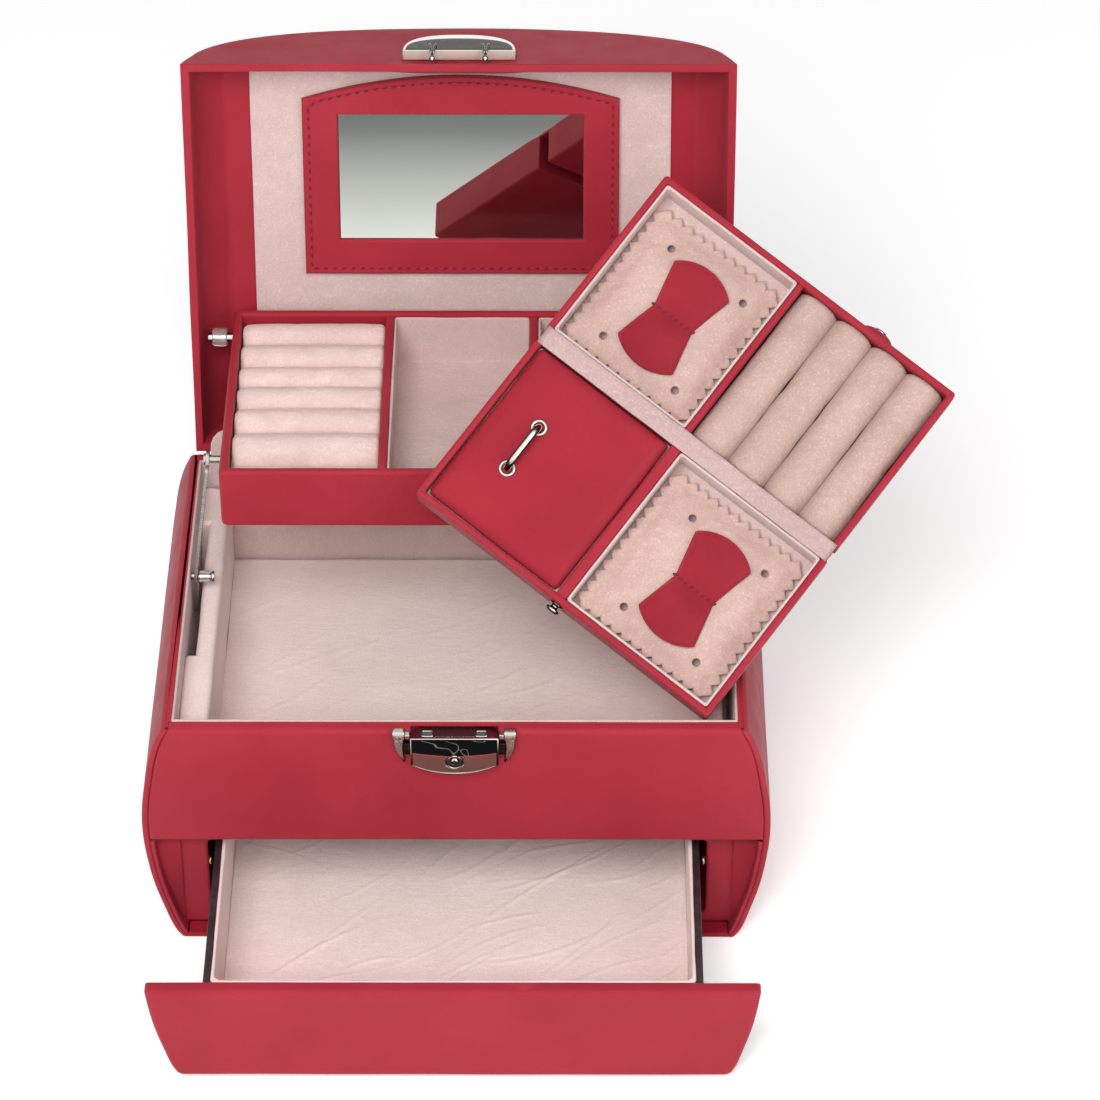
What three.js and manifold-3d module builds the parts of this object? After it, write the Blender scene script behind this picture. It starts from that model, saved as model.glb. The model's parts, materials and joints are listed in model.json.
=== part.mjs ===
// Jewellery chest: barrel-sided body, arched lid with a mirror, tray lifted by the lid, drawer,
// and a folding travel case leaning open on the tray.
// Millimetres. +Z up, the front faces -Y, the origin is the centre of the body's underside.
import * as THREE from 'three';
import { mergeVertices } from 'three/addons/utils/BufferGeometryUtils.js';
import Module from 'manifold-3d';

const wasm = await Module();
wasm.setup();

// ---- driving dimensions ----
const gap = 0.05;
const bodyDepth = 188;
const bodyHeight = 120;
const halfDepth = bodyDepth / 2;
const wall = 5.6;
const innerFaceX = 118.7;
const liningX = 117.5;
const liningY = 87.4;
// half the body's width at a height above the table
const barrel = [
  [0, 119.6], [3, 121.8], [9, 124.2], [17, 126.5], [30, 129.9], [46, 132.5],
  [62, 133.7], [76, 133.2], [90, 131.2], [104, 128.6], [113, 125.8], [120, 122.4],
];
const sideEdge = 2.7;

const baseTop = 2.4;
const bayTop = 56.8;
const bayDepth = 7.1;
const dividerLow = 58;
const dividerTop = 62;
const drawerOut = 85.5;
const drawerHalfWidth = 103.7;
const drawerFrontThick = 5.8;
const drawerFrontTop = 52;
const pocketInset = 4.6;

const floorTop = 64.5;
const linerTop = 107;
const linerInnerX = 105;
const slotInnerX = 113.2;

const hingeY = 93.8;
const hingeZ = 120.9;
const lidOpen = THREE.MathUtils.degToRad(101.3);
const lidLength = 187.6;
const lidHalfWidth = 120.4;
const lidRise = 49;
const lidWall = 4;
const panelDepth = 25;

const trayHalfWidth = 102;
const trayFront = 4.2;
const trayBack = 122.1;
const trayLow = 150.4;
const trayTop = 180;
const trayWall = 3.8;
const trayDividerX = 32.2;
const ringRollCount = 6;
const ringRollPitch = 16.2;
const ringRollTop = 179.3;
const ringRollSeam = 171.4;

// pivots in Y and Z: the lid's pin for the tray, the arm's pin on the body and on the tray
const lidPinY = 110.0;
const lidPinZ = 173.3;
const armLowY = 12.2;
const armLowZ = 115.6;
const armHighY = armLowY + lidPinY - hingeY;
const armHighZ = armLowZ + lidPinZ - hingeZ;
const armLowX = 115.3;
const armHighX = 108.5;

const caseLength = 154.8;
const caseOuterY = 86.8;
const spineHalf = 3.5;
const caseDeep = 19.5;
const caseWall = 3;
const caseSpineWall = 0.8;
const caseBaseDivider = [-4.7, 0.3];
const caseLidDivider = [-4.5, -1.5];
const padHoleX = 19.2;
const padHoleY = 23.8;
const pinkingPitch = 5.6;
const pinkingDepth = 2.4;
const caseRollCount = 4;
const casePlace = new THREE.Matrix4().compose(
  new THREE.Vector3(97.5, -6.5, 204.3),
  new THREE.Quaternion().setFromEuler(new THREE.Euler(
    THREE.MathUtils.degToRad(42.9),
    THREE.MathUtils.degToRad(1.1),
    THREE.MathUtils.degToRad(-37.65),
    'XYZ',
  )),
  new THREE.Vector3(1, 1, 1),
);

// ---- materials ----
function material(colour, roughness, metalness) {
  return new THREE.MeshStandardMaterial({ color: colour, roughness, metalness });
}
const leather = material(0xb5364a, 0.5, 0);
const velour = material(0xdcc0ba, 0.9, 0);
const darkBoard = material(0x2a1a1c, 0.6, 0);
const chrome = material(0xd8d4cc, 0.15, 1);
const brass = material(0xb08a4a, 0.3, 1);
const clearPlastic = material(0xd9dde0, 0.2, 0);
const mirrorGlass = material(0xe6e8ea, 0.05, 1);
const blackCloth = material(0x1a1618, 0.9, 0);

const group = new THREE.Group();

function add(name, shape, look) {
  const mesh = new THREE.Mesh(toGeometry(shape), look);
  mesh.name = name;
  group.add(mesh);
}

// ---- solids ----
function toSolid(shape) {
  if (!shape.isBufferGeometry) return shape;
  const bare = new THREE.BufferGeometry();
  bare.setAttribute('position', shape.getAttribute('position'));
  if (shape.index) bare.setIndex(shape.index);
  const merged = mergeVertices(bare, 1e-4);
  const vertProperties = new Float32Array(merged.getAttribute('position').array);
  const triVerts = new Uint32Array(merged.index.array);
  return new wasm.Manifold(new wasm.Mesh({ numProp: 3, vertProperties, triVerts }));
}

function toGeometry(shape) {
  if (shape.isBufferGeometry) return shape;
  const mesh = shape.getMesh();
  const geometry = new THREE.BufferGeometry();
  geometry.setAttribute('position', new THREE.BufferAttribute(mesh.vertProperties, 3));
  geometry.setIndex(new THREE.BufferAttribute(mesh.triVerts, 1));
  geometry.computeVertexNormals();
  return geometry;
}

function join(...shapes) {
  return shapes.map(toSolid).reduce((whole, next) => whole.add(next));
}

function cut(shape, ...tools) {
  return tools.map(toSolid).reduce((left, tool) => left.subtract(tool), toSolid(shape));
}

function box(x0, x1, y0, y1, z0, z1) {
  const geometry = new THREE.BoxGeometry(x1 - x0, y1 - y0, z1 - z0);
  return geometry.translate((x0 + x1) / 2, (y0 + y1) / 2, (z0 + z1) / 2);
}

function outlineShape(points) {
  return new THREE.Shape(points.map(([u, v]) => new THREE.Vector2(u, v)));
}

function basis(x, y, z) {
  const [a, b, c] = [x, y, z].map((v) => new THREE.Vector3(...v));
  return new THREE.Matrix4().makeBasis(a, b, c);
}

// an outline in X and Y, raised from z0 to z1
function prismZ(points, z0, z1) {
  const geometry = new THREE.ExtrudeGeometry(outlineShape(points), { depth: z1 - z0, bevelEnabled: false });
  return geometry.translate(0, 0, z0);
}

// an outline in X and Z, drawn out from y0 to y1
function prismY(points, y0, y1) {
  const geometry = new THREE.ExtrudeGeometry(outlineShape(points), { depth: y1 - y0, bevelEnabled: false });
  geometry.applyMatrix4(basis([1, 0, 0], [0, 0, 1], [0, -1, 0]));
  return geometry.translate(0, y1, 0);
}

// an outline in Y and Z, drawn out from x0 to x1
function prismX(points, x0, x1) {
  const geometry = new THREE.ExtrudeGeometry(outlineShape(points), { depth: x1 - x0, bevelEnabled: false });
  geometry.applyMatrix4(basis([0, 1, 0], [0, 0, 1], [1, 0, 0]));
  return geometry.translate(x0, 0, 0);
}

function rodX(radius, x0, x1, y, z, segments = 16) {
  const geometry = new THREE.CylinderGeometry(radius, radius, x1 - x0, segments);
  geometry.rotateZ(Math.PI / 2);
  return geometry.translate((x0 + x1) / 2, y, z);
}

function rodY(radius, y0, y1, x, z, segments = 20) {
  const geometry = new THREE.CylinderGeometry(radius, radius, y1 - y0, segments);
  return geometry.translate(x, (y0 + y1) / 2, z);
}

function rodZ(radius, z0, z1, x, y, segments = 12) {
  const geometry = new THREE.CylinderGeometry(radius, radius, z1 - z0, segments);
  geometry.rotateX(Math.PI / 2);
  return geometry.translate(x, y, (z0 + z1) / 2);
}

function mirrorX(shape) {
  return toSolid(shape).mirror([1, 0, 0]);
}

// points of an arc about (u, v), angles in degrees
function arc(u, v, ru, rv, from, to, steps) {
  const points = [];
  for (let i = 0; i <= steps; i += 1) {
    const angle = THREE.MathUtils.degToRad(from + ((to - from) * i) / steps);
    points.push([u + ru * Math.cos(angle), v + rv * Math.sin(angle)]);
  }
  return points;
}

function roundedRect(u0, u1, v0, v1, r, steps = 3) {
  return [
    ...arc(u1 - r, v0 + r, r, r, -90, 0, steps),
    ...arc(u1 - r, v1 - r, r, r, 0, 90, steps),
    ...arc(u0 + r, v1 - r, r, r, 90, 180, steps),
    ...arc(u0 + r, v0 + r, r, r, 180, 270, steps),
  ];
}

// ---- barrel outline ----
function halfWidthAt(z) {
  const upper = barrel.findIndex(([height]) => height >= z);
  if (upper <= 0) return barrel[0][1];
  const [z0, w0] = barrel[upper - 1];
  const [z1, w1] = barrel[upper];
  return w0 + ((w1 - w0) * (z - z0)) / (z1 - z0);
}

// right-hand edge of the barrel from low to high, moved in by inset
function barrelEdge(low, high, inset) {
  const heights = barrel.map(([z]) => z).filter((z) => z > low && z < high);
  return [low, ...heights, high].map((z) => [halfWidthAt(z) - inset, z]);
}

function barrelOutline(low, high, inset) {
  const right = barrelEdge(low, high, inset);
  const left = right.map(([x, z]) => [-x, z]).reverse();
  return [...right, ...left];
}

// ---- body ----
// the room the drawer front needs inside the recess
function bayPocket() {
  return prismY(barrelOutline(0, bayTop + 0.6, pocketInset), -halfDepth - 1, -halfDepth + bayDepth);
}

function sidePanel() {
  const outer = barrelEdge(0, bodyHeight, 0);
  const section = [...outer, [innerFaceX, bodyHeight], [innerFaceX, 0]];
  const core = prismY(section, -halfDepth + wall, halfDepth - wall);
  const edge = [...outer, ...barrelEdge(0, bodyHeight, sideEdge).reverse()];
  const front = prismY(edge, -halfDepth, -halfDepth + wall + 0.1);
  const back = prismY(edge, halfDepth - wall - 0.1, halfDepth);
  return cut(join(core, front, back), bayPocket());
}

function buildBody() {
  const inset = sideEdge + gap;
  const wallFace = halfDepth - wall;
  const edgeAtBase = halfWidthAt(0) - inset;
  add('base_panel', join(
    box(-innerFaceX + gap, innerFaceX - gap, -wallFace + 0.2, wallFace - 0.2, 0, baseTop),
    box(-edgeAtBase, edgeAtBase, -halfDepth, halfDepth, 0, baseTop),
  ), leather);
  add('side_panel_right', sidePanel(), leather);
  add('side_panel_left', mirrorX(sidePanel()), leather);
  add('front_panel', prismY(barrelOutline(bayTop, bodyHeight, inset), -halfDepth, -wallFace - gap), leather);
  add('back_panel', prismY(
    barrelOutline(baseTop + gap, bodyHeight, inset),
    wallFace + gap,
    halfDepth,
  ), leather);
  add('divider_board', box(
    -innerFaceX + gap, innerFaceX - gap, -wallFace + gap, wallFace - gap, dividerLow, dividerTop,
  ), darkBoard);
  buildBayFrame(inset, wallFace);
  buildLinings();
  add('hinge_strip_body', box(-112, 112, halfDepth + gap, halfDepth + 0.8, 104, 119.4), leather);
}

// the recess the drawer front closes into, with the opening behind it
function buildBayFrame(inset, wallFace) {
  const low = baseTop + gap;
  const high = bayTop - 0.4;
  const pocketBack = -halfDepth + bayDepth;
  const face = prismY(barrelOutline(low, high, inset), -halfDepth, -wallFace - gap);
  const plateHalf = innerFaceX - gap;
  const plate = box(-plateHalf, plateHalf, -wallFace - 0.2, pocketBack + 2, low, high);
  const opening = prismY(roundedRect(-107, 107, 6.4, 51.4, 4), -halfDepth, -80);
  add('drawer_bay_frame', cut(join(face, plate), bayPocket(), opening), leather);
}

function buildLinings() {
  const low = dividerTop + gap;
  const ring = box(
    -innerFaceX + gap, innerFaceX - gap,
    -halfDepth + wall + gap, halfDepth - wall - gap,
    low, bodyHeight + 0.6,
  );
  const ringHole = box(-liningX, liningX, -liningY, liningY, 0, 200);
  add('rim_lining', cut(ring, ringHole), velour);

  const edge = liningX - gap;
  const liner = box(-edge, edge, -liningY + gap, 86, low, linerTop);
  const hollow = box(-linerInnerX, linerInnerX, -100, 100, floorTop, 200);
  const slots = [-1, 1].map((side) => {
    const ends = [side * slotInnerX, side * (liningX + 1)].sort((p, q) => p - q);
    return box(ends[0], ends[1], side < 0 ? -30 : -74, 60, 70, 200);
  });
  add('compartment_liner', cut(liner, hollow, ...slots), velour);

  add('hinge_cover_flap', prismY([
    [-113, linerTop + 0.2], [113, linerTop + 0.2],
    ...arc(99, 126.5, 14, 14, 0, 90, 4),
    ...arc(-99, 126.5, 14, 14, 90, 180, 4),
  ], 86.2, liningY - gap), velour);
}

// ---- lock ----
const lockX = 18.4;
const lockFront = -99;
const lockTop = 120.7;
const keyZ = 107.2;
const lockSweep = 37.25;
const lockRound = 30.4;
const prongX = 11.3;
const prongY = -96.2;
const lockShelf = -halfDepth - 0.1;

function buildLock() {
  const outline = [
    [lockX, lockTop], [-lockX, lockTop],
    ...arc(0, 98.7 + lockRound, lockRound, lockRound, 270 - lockSweep, 270 + lockSweep, 12),
  ];
  const front = prismY(outline, lockFront, -halfDepth - gap);
  const flange = box(-lockX, lockX, -halfDepth - 1, -91, bodyHeight + gap, lockTop);
  const bevel = prismX([
    [lockFront - 1, 110.9], [lockFront, 110.9], [lockFront + 1.2, lockTop], [lockFront + 1.2, 122],
    [lockFront - 1, 122],
  ], -30, 30);
  const slope = prismX([
    [lockFront - 1, 118.4], [-94.2, lockTop], [-94.2, 122], [lockFront - 1, 122],
  ], -30, 30);
  const boss = rodY(4.6, lockFront - 0.5, -97, 0, keyZ, 24);
  const keyBore = rodY(3.6, lockFront - 2, -96, 0, keyZ, 24);
  const prongSlots = [-prongX, prongX].map((x) => box(x - 2.6, x + 2.6, -97.9, -94.5, 113, 125));
  const shaftBores = [-1, 1].map((side) => {
    const ends = [side * 13, side * 20].sort((p, q) => p - q);
    return box(ends[0], ends[1], -97.4, -95, 107, 112.4);
  });
  const body = cut(join(cut(front, bevel, slope), flange, boss), keyBore, ...prongSlots, ...shaftBores);
  add('lock_body', body, chrome);

  const plug = rodY(3.3, lockFront - 0.8, -96.2, 0, keyZ, 24);
  add('lock_key_plug', cut(plug, box(-0.6, 0.6, lockFront - 2, -97.4, keyZ - 1, keyZ + 2)), chrome);

  const lever = leverShape();
  add('lock_lever_right', lever, chrome);
  add('lock_lever_left', mirrorX(lever), chrome);
}

// a crescent finger lever on the end of a flat shaft
function leverShape() {
  const crescent = prismY([
    [20.6, 105.2], [23.2, 108.4], [25.2, 112.4], [25.9, 116.6], [26, 120.4], [20.6, 120.4],
    [21.9, 116], [21.9, 110.5],
  ], -97.4, lockShelf);
  const shaft = box(14, 22.4, -97, -95.4, 107.6, 111.8);
  const web = box(20.9, 22.6, -97.2, -94.4, 107, 116);
  return join(crescent, shaft, web);
}

// ---- lid, drawn closed with the hinge at the origin: Y runs forward as minus, Z is the rise ----
function placeLid(shape) {
  const geometry = toGeometry(shape);
  geometry.rotateX(-lidOpen);
  return geometry.translate(0, hingeY, hingeZ);
}

function arch(halfWidth, rise) {
  return arc(0, 0, halfWidth, rise, 0, 180, 30);
}

function buildLid() {
  const outer = prismY(arch(lidHalfWidth, lidRise), -lidLength, -0.25);
  const hollow = prismY([
    ...arch(lidHalfWidth - lidWall, lidRise - lidWall),
    [-lidHalfWidth + lidWall, -2], [lidHalfWidth - lidWall, -2],
  ], -lidLength + lidWall, -4.2);
  add('lid_shell', placeLid(cut(outer, hollow)), leather);
  add('hinge_strip_lid', placeLid(box(-112, 112, -0.2, 0.6, 2.6, 16)), leather);

  add('lid_lining_panel', placeLid(box(
    -92.8, 92.8, -lidLength + lidWall + 0.1, -4.3, panelDepth, panelDepth + 1.5,
  )), velour);

  const archTop = Array.from({ length: 13 }, (_, i) => {
    const x = -70 + (140 * i) / 12;
    return [x, -162 - 11 * (1 - (x / 70) ** 2)];
  });
  const frame = prismZ([
    ...archTop, ...arc(67, -81, 3, 3, 0, 90, 2), ...arc(-67, -81, 3, 3, 90, 180, 2),
  ], panelDepth - 3.1, panelDepth - 0.1);
  const opening = box(-54.3, 54.3, -155, -94.6, 0, 40);
  add('mirror_frame', placeLid(cut(frame, opening)), leather);
  const glass = box(-54.2, 54.2, -154.9, -94.7, panelDepth - 1.6, panelDepth - 0.1);
  add('mirror_glass', placeLid(glass), mirrorGlass);

  const catchOutline = [
    [-24.5, 6.3], [24.5, 6.3], [24.5, 9.5],
    ...arc(0, 9.5, 24.5, 18, 8, 172, 14),
    [-24.5, 9.5],
  ];
  const plate = prismY(catchOutline, -192, -lidLength - gap);
  const prongs = [-prongX, prongX].map((x) => join(
    rodZ(1, -2, 8, x, prongY - hingeY),
    new THREE.SphereGeometry(1.5, 10, 6).translate(x, prongY - hingeY, -1.6),
  ));
  add('catch_plate', placeLid(join(plate, ...prongs)), chrome);

  const pin = rodX(2, 99.9, 113.5, lidPinY, lidPinZ);
  add('lid_pin_right', pin, chrome);
  add('lid_pin_left', mirrorX(pin), chrome);
  const spacer = cut(rodX(4, 105.7, 112.2, lidPinY, lidPinZ, 20), rodX(2.1, 100, 120, lidPinY, lidPinZ));
  add('lid_spacer_right', spacer, clearPlastic);
  add('lid_spacer_left', mirrorX(spacer), clearPlastic);
}

// ---- tray carried by the lid ----
function buildTray() {
  const outline = [
    [trayHalfWidth, trayTop], [-trayHalfWidth, trayTop],
    ...arc(-trayHalfWidth + 2.4, trayLow + 2.4, 2.4, 2.4, 180, 270, 4),
    ...arc(trayHalfWidth - 2.4, trayLow + 2.4, 2.4, 2.4, 270, 360, 4),
  ];
  const innerX = trayHalfWidth - trayWall;
  const innerFront = trayFront + trayWall;
  const innerBack = trayBack - trayWall;
  const floor = trayLow + 3;
  const holes = [-1, 1].flatMap((side) => {
    const ends = [side * 99.6, side * 104].sort((p, q) => p - q);
    return [
      rodX(2.35, ends[0], ends[1], lidPinY, lidPinZ),
      rodX(1.95, ends[0], ends[1], armHighY, armHighZ),
    ];
  });
  add('tray_shell', cut(
    prismY(outline, trayFront, trayBack),
    box(-innerX, innerX, innerFront, innerBack, floor, 300),
    ...holes,
  ), leather);
  const cloth = box(-97, 97, trayFront + 2, trayBack - 2, trayLow - 0.6, trayLow - gap);
  add('tray_base_cloth', cloth, blackCloth);

  const sheet = 1;
  const lining = box(
    -innerX + gap, innerX - gap, innerFront + gap, innerBack - gap, floor + gap, trayTop - 1.5,
  );
  const inside = box(
    -innerX + gap + sheet, innerX - gap - sheet,
    innerFront + gap + sheet, innerBack - gap - sheet,
    floor + gap + sheet, 300,
  );
  add('tray_lining', cut(lining, inside), velour);

  const deck = floor + 2 * gap + sheet;
  const front = innerFront + 2 * gap + sheet;
  const back = innerBack - 2 * gap - sheet;
  for (const [name, x] of [['tray_divider_left', -trayDividerX], ['tray_divider_right', trayDividerX]]) {
    add(name, box(x - 2, x + 2, front, back, deck, trayTop - 0.4), leather);
  }
  const left = -innerX + 2 * gap + sheet;
  const right = -trayDividerX - 2 - gap;
  const firstRoll = back - ringRollPitch * ringRollCount;
  const rolls = rollProfile(firstRoll, back, deck, ringRollTop, ringRollCount);
  const strip = box(left, right, front, firstRoll + 1, deck, ringRollSeam);
  add('tray_ring_rolls', join(prismX(rolls, left, right), strip), velour);
}

// a row of round-topped rolls standing side by side, as one outline
function rollProfile(start, end, low, high, count) {
  const pitch = (end - start) / count;
  const radius = pitch / 2;
  const points = [[start, low]];
  for (let i = 0; i < count; i += 1) {
    const centre = start + pitch * (i + 0.5);
    points.push(...arc(centre, high - radius, radius * 0.98, radius, 165, 15, 6));
  }
  points.push([end, low]);
  return points.reverse();
}

// ---- arms between the body and the tray ----
function buildArms() {
  const length = Math.hypot(armHighY - armLowY, armHighZ - armLowZ);
  const tail = 15;
  const outline = [
    ...arc(0, -tail, 1.6, 1.6, 180, 360, 4),
    [2.4, -4], [3.4, 0], [3, 6], [2.6, length - 6],
    ...arc(0, length, 4, 4, -30, 210, 8),
    [-2.6, length - 6], [-3, 6], [-3.4, 0], [-2.4, -4],
  ];
  const blade = prismX(outline, -0.7, 0.7);
  const position = blade.getAttribute('position');
  for (let i = 0; i < position.count; i += 1) {
    const along = THREE.MathUtils.clamp(position.getZ(i) / length, 0, 1);
    position.setX(i, position.getX(i) + armLowX + (armHighX - armLowX) * along);
  }
  blade.rotateX(-Math.atan2(armHighY - armLowY, armHighZ - armLowZ));
  blade.translate(0, armLowY, armLowZ);
  const bore = rodX(1.75, 105, 120, armLowY, armLowZ);
  const rivet = rodX(1.6, 99.9, armHighX + 0.3, armHighY, armHighZ);
  const rivetHead = rodX(2.6, armHighX + 0.2, armHighX + 1.8, armHighY, armHighZ);
  const arm = join(cut(blade, bore), rivet, rivetHead);
  add('arm_right', arm, chrome);
  add('arm_left', mirrorX(arm), chrome);

  const pin = join(
    rodX(1.5, 108, liningX - gap, armLowY, armLowZ),
    rodX(2.4, 107.2, 108.4, armLowY, armLowZ),
  );
  add('arm_pin_right', pin, chrome);
  add('arm_pin_left', mirrorX(pin), chrome);
  const spacer = cut(rodX(2.6, 108.9, 113.8, armLowY, armLowZ, 20), rodX(1.6, 100, 120, armLowY, armLowZ));
  add('arm_spacer_right', spacer, clearPlastic);
  add('arm_spacer_left', mirrorX(spacer), clearPlastic);
}

// ---- drawer, drawn pulled out ----
function buildDrawer() {
  const frontFace = -halfDepth - drawerOut;
  const frontBack = frontFace + drawerFrontThick;
  const outline = barrelOutline(baseTop + 0.4, drawerFrontTop, pocketInset + 1);
  add('drawer_front', prismY(outline, frontFace, frontBack), leather);

  const rear = frontBack + 165;
  const side = drawerHalfWidth;
  const inside = side - 3;
  const outer = box(-side, side, frontBack + gap, rear, 6.9, 49.5);
  const inner = box(-inside, inside, frontBack + 3, rear - 3, 9.4, 200);
  add('drawer_box', cut(outer, inner), darkBoard);

  const lining = box(
    -inside + gap, inside - gap, frontBack + 3 + gap, rear - 3 - gap, 9.4 + gap, 49,
  );
  const pocket = box(-inside + 1, inside - 1, frontBack + 4, rear - 4, 10.6, 200);
  add('drawer_lining', cut(lining, pocket), velour);

  const stop = join(
    rodX(1.2, side + gap, side + 1.6, -92.7, 45),
    rodX(2, side + 1.2, side + 2.6, -92.7, 45),
  );
  add('drawer_stop_right', stop, brass);
  add('drawer_stop_left', mirrorX(stop), brass);
}

// ---- travel case, drawn flat: X along the spine, the rims at Z = 0 ----
function placeCase(shape) {
  return toGeometry(shape).applyMatrix4(casePlace);
}

// one half, from the spine towards +Y for side 1 or -Y for side -1
function halfBox(side, x0, x1, near, far, z0, z1) {
  return side > 0 ? box(x0, x1, near, far, z0, z1) : box(x0, x1, -far, -near, z0, z1);
}

const caseX = caseLength / 2 - caseWall;
const caseNear = spineHalf + caseSpineWall;
const caseFar = caseOuterY - caseWall;
const caseFloor = -caseDeep + 1.8;

function caseShell(side) {
  const half = caseLength / 2;
  const outer = halfBox(side, -half, half, spineHalf, caseOuterY, -caseDeep, 0);
  const inner = halfBox(side, -caseX, caseX, caseNear, caseFar, caseFloor, 5);
  return cut(outer, inner);
}

// a lined compartment between x0 and x1
function caseLining(side, x0, x1, top) {
  const sheet = 1.2;
  const outer = halfBox(side, x0 + gap, x1 - gap, caseNear + gap, caseFar - gap, caseFloor + gap, top);
  const inner = halfBox(
    side, x0 + gap + sheet, x1 - gap - sheet,
    caseNear + gap + sheet, caseFar - gap - sheet, caseFloor + gap + sheet, 5,
  );
  return cut(outer, inner);
}

// a cushion for earrings with a pinked edge, four holes round the bow and a foam block under it
function earringPad(cx, cy, halfX, halfY, bow) {
  const low = caseFloor + 1.4;
  const points = [];
  const corners = [[-1, -1], [1, -1], [1, 1], [-1, 1]];
  corners.forEach(([sx, sy], i) => {
    const [ex, ey] = corners[(i + 1) % 4];
    const from = [cx + sx * halfX, cy + sy * halfY];
    const to = [cx + ex * halfX, cy + ey * halfY];
    const teeth = Math.round(Math.hypot(to[0] - from[0], to[1] - from[1]) / pinkingPitch);
    const inward = [-(to[1] - from[1]), to[0] - from[0]];
    const size = Math.hypot(...inward);
    for (let t = 0; t < teeth; t += 1) {
      const a = t / teeth;
      const b = (t + 0.5) / teeth;
      points.push([from[0] + (to[0] - from[0]) * a, from[1] + (to[1] - from[1]) * a]);
      points.push([
        from[0] + (to[0] - from[0]) * b + (inward[0] / size) * pinkingDepth,
        from[1] + (to[1] - from[1]) * b + (inward[1] / size) * pinkingDepth,
      ]);
    }
  });
  const sheet = prismZ(points, -10.4, -9);
  const foam = box(cx - halfX + 4, cx + halfX - 4, cy - halfY + 4, cy + halfY - 4, low, -9.6);
  const holes = corners.map(([sx, sy]) => rodZ(
    1.65, -12.5, 5, bow[0] + sx * padHoleX, bow[1] + sy * padHoleY, 10,
  ));
  return cut(join(sheet, foam), ...holes);
}

// the bow-shaped leather flap that holds earring backs
function bowFlap(cx, cy) {
  const lobe = [
    [10.1, 0], [11, 5], [14.5, 19.6], ...arc(0, 3.9, 21.8, 21.8, 50, 130, 6), [-14.5, 19.6], [-11, 5],
  ];
  const lower = lobe.map(([x, y]) => [-x, -y]);
  const flap = prismZ([...lobe, ...lower], 0, 1.2);
  return flap.translate(cx, cy, -9 + gap);
}

function buildCase() {
  const mid = (caseNear + caseFar) / 2;
  const baseLeft = [-caseX, caseBaseDivider[0] - gap];
  const baseRight = [caseBaseDivider[1] + gap, caseX];
  const lidLeft = [-caseX, caseLidDivider[0] - gap];
  const lidRight = [caseLidDivider[1] + gap, caseX];

  // lower half: covered compartment on the left, earring cushion on the right
  add('case_base_shell', placeCase(caseShell(-1)), leather);
  add('case_base_divider', placeCase(halfBox(
    -1, caseBaseDivider[0], caseBaseDivider[1], caseNear + gap, caseFar - gap, caseFloor + gap, -0.4,
  )), leather);
  add('case_base_store_lining', placeCase(caseLining(-1, baseLeft[0], baseLeft[1], -5.9)), velour);
  add('case_base_lining', placeCase(caseLining(-1, baseRight[0], baseRight[1], -1)), velour);
  const baseX = (baseRight[0] + baseRight[1]) / 2;
  const baseY = -mid - 1.4;
  const baseBow = [baseX + 2.7, baseY - 1];
  add('case_base_pad', placeCase(earringPad(baseX, baseY, 35.2, 36.4, baseBow)), velour);
  add('case_base_flap', placeCase(bowFlap(...baseBow)), leather);
  add('case_cover', placeCase(halfBox(
    -1, baseLeft[0] + 0.5, baseLeft[1] - 0.5, caseNear + 0.5, caseFar - 0.5, -5.8, -1.2,
  )), leather);
  add('case_handle', placeCase(handleShape(-53.3, -44)), chrome);
  add('case_spine', placeCase(box(-76.6, 76.6, -2.9, 2.9, -1.1, -0.1)), velour);
  const stud = rodY(3.2, -caseOuterY - 4.4, -caseOuterY - 2.2, -2.1, -9, 16);
  const shank = rodY(1.6, -caseOuterY - 3, -caseOuterY - gap, -2.1, -9, 12);
  add('case_snap_stud', placeCase(join(stud, shank)), chrome);

  // upper half: earring cushion on the left, ring rolls on the right
  add('case_lid_shell', placeCase(caseShell(1)), leather);
  add('case_lid_divider', placeCase(halfBox(
    1, caseLidDivider[0], caseLidDivider[1], caseNear + gap, caseFar - gap, caseFloor + gap, -0.4,
  )), leather);
  add('case_lid_lining', placeCase(caseLining(1, lidLeft[0], lidLeft[1], -1)), velour);
  const lidX = (lidLeft[0] + lidLeft[1]) / 2;
  const lidY = mid - 2.2;
  const lidBow = [lidX + 1.8, lidY - 1.6];
  add('case_lid_pad', placeCase(earringPad(lidX, lidY, 33.2, 35.9, lidBow)), velour);
  add('case_lid_flap', placeCase(bowFlap(...lidBow)), leather);
  const rolls = rollProfile(lidRight[0] + 0.4, lidRight[1] - 0.4, caseFloor + gap, -2.2, caseRollCount);
  add('case_lid_rolls', placeCase(prismY([...rolls].reverse(), caseNear + 0.4, caseFar - 0.4)), velour);
  add('case_clasp_tab', placeCase(box(29, 42, caseOuterY + gap, caseOuterY + 7, -9.4, -7.6)), leather);
}

// a bar handle on two round feet, along Y
function handleShape(x, y) {
  const reach = 11;
  const curve = new THREE.CatmullRomCurve3([
    new THREE.Vector3(x, y - reach, -1.1),
    new THREE.Vector3(x, y - reach, 2),
    new THREE.Vector3(x, y - reach + 3, 4),
    new THREE.Vector3(x, y + reach - 3, 4),
    new THREE.Vector3(x, y + reach, 2),
    new THREE.Vector3(x, y + reach, -1.1),
  ], false, 'catmullrom', 0.3);
  const section = outlineShape(arc(0, 0, 1.5, 1.5, 0, 315, 7));
  const bar = new THREE.ExtrudeGeometry(section, { steps: 20, bevelEnabled: false, extrudePath: curve });
  const feet = [-reach, reach].map((dy) => rodZ(3.6, -1.15, -0.2, x, y + dy, 16));
  return join(bar, ...feet);
}

buildBody();
buildLock();
buildLid();
buildTray();
buildArms();
buildDrawer();
buildCase();

export default group;
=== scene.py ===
"""Looks of the jewellery chest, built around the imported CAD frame. Metres, the frame's own axes."""

import json
import math

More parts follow.
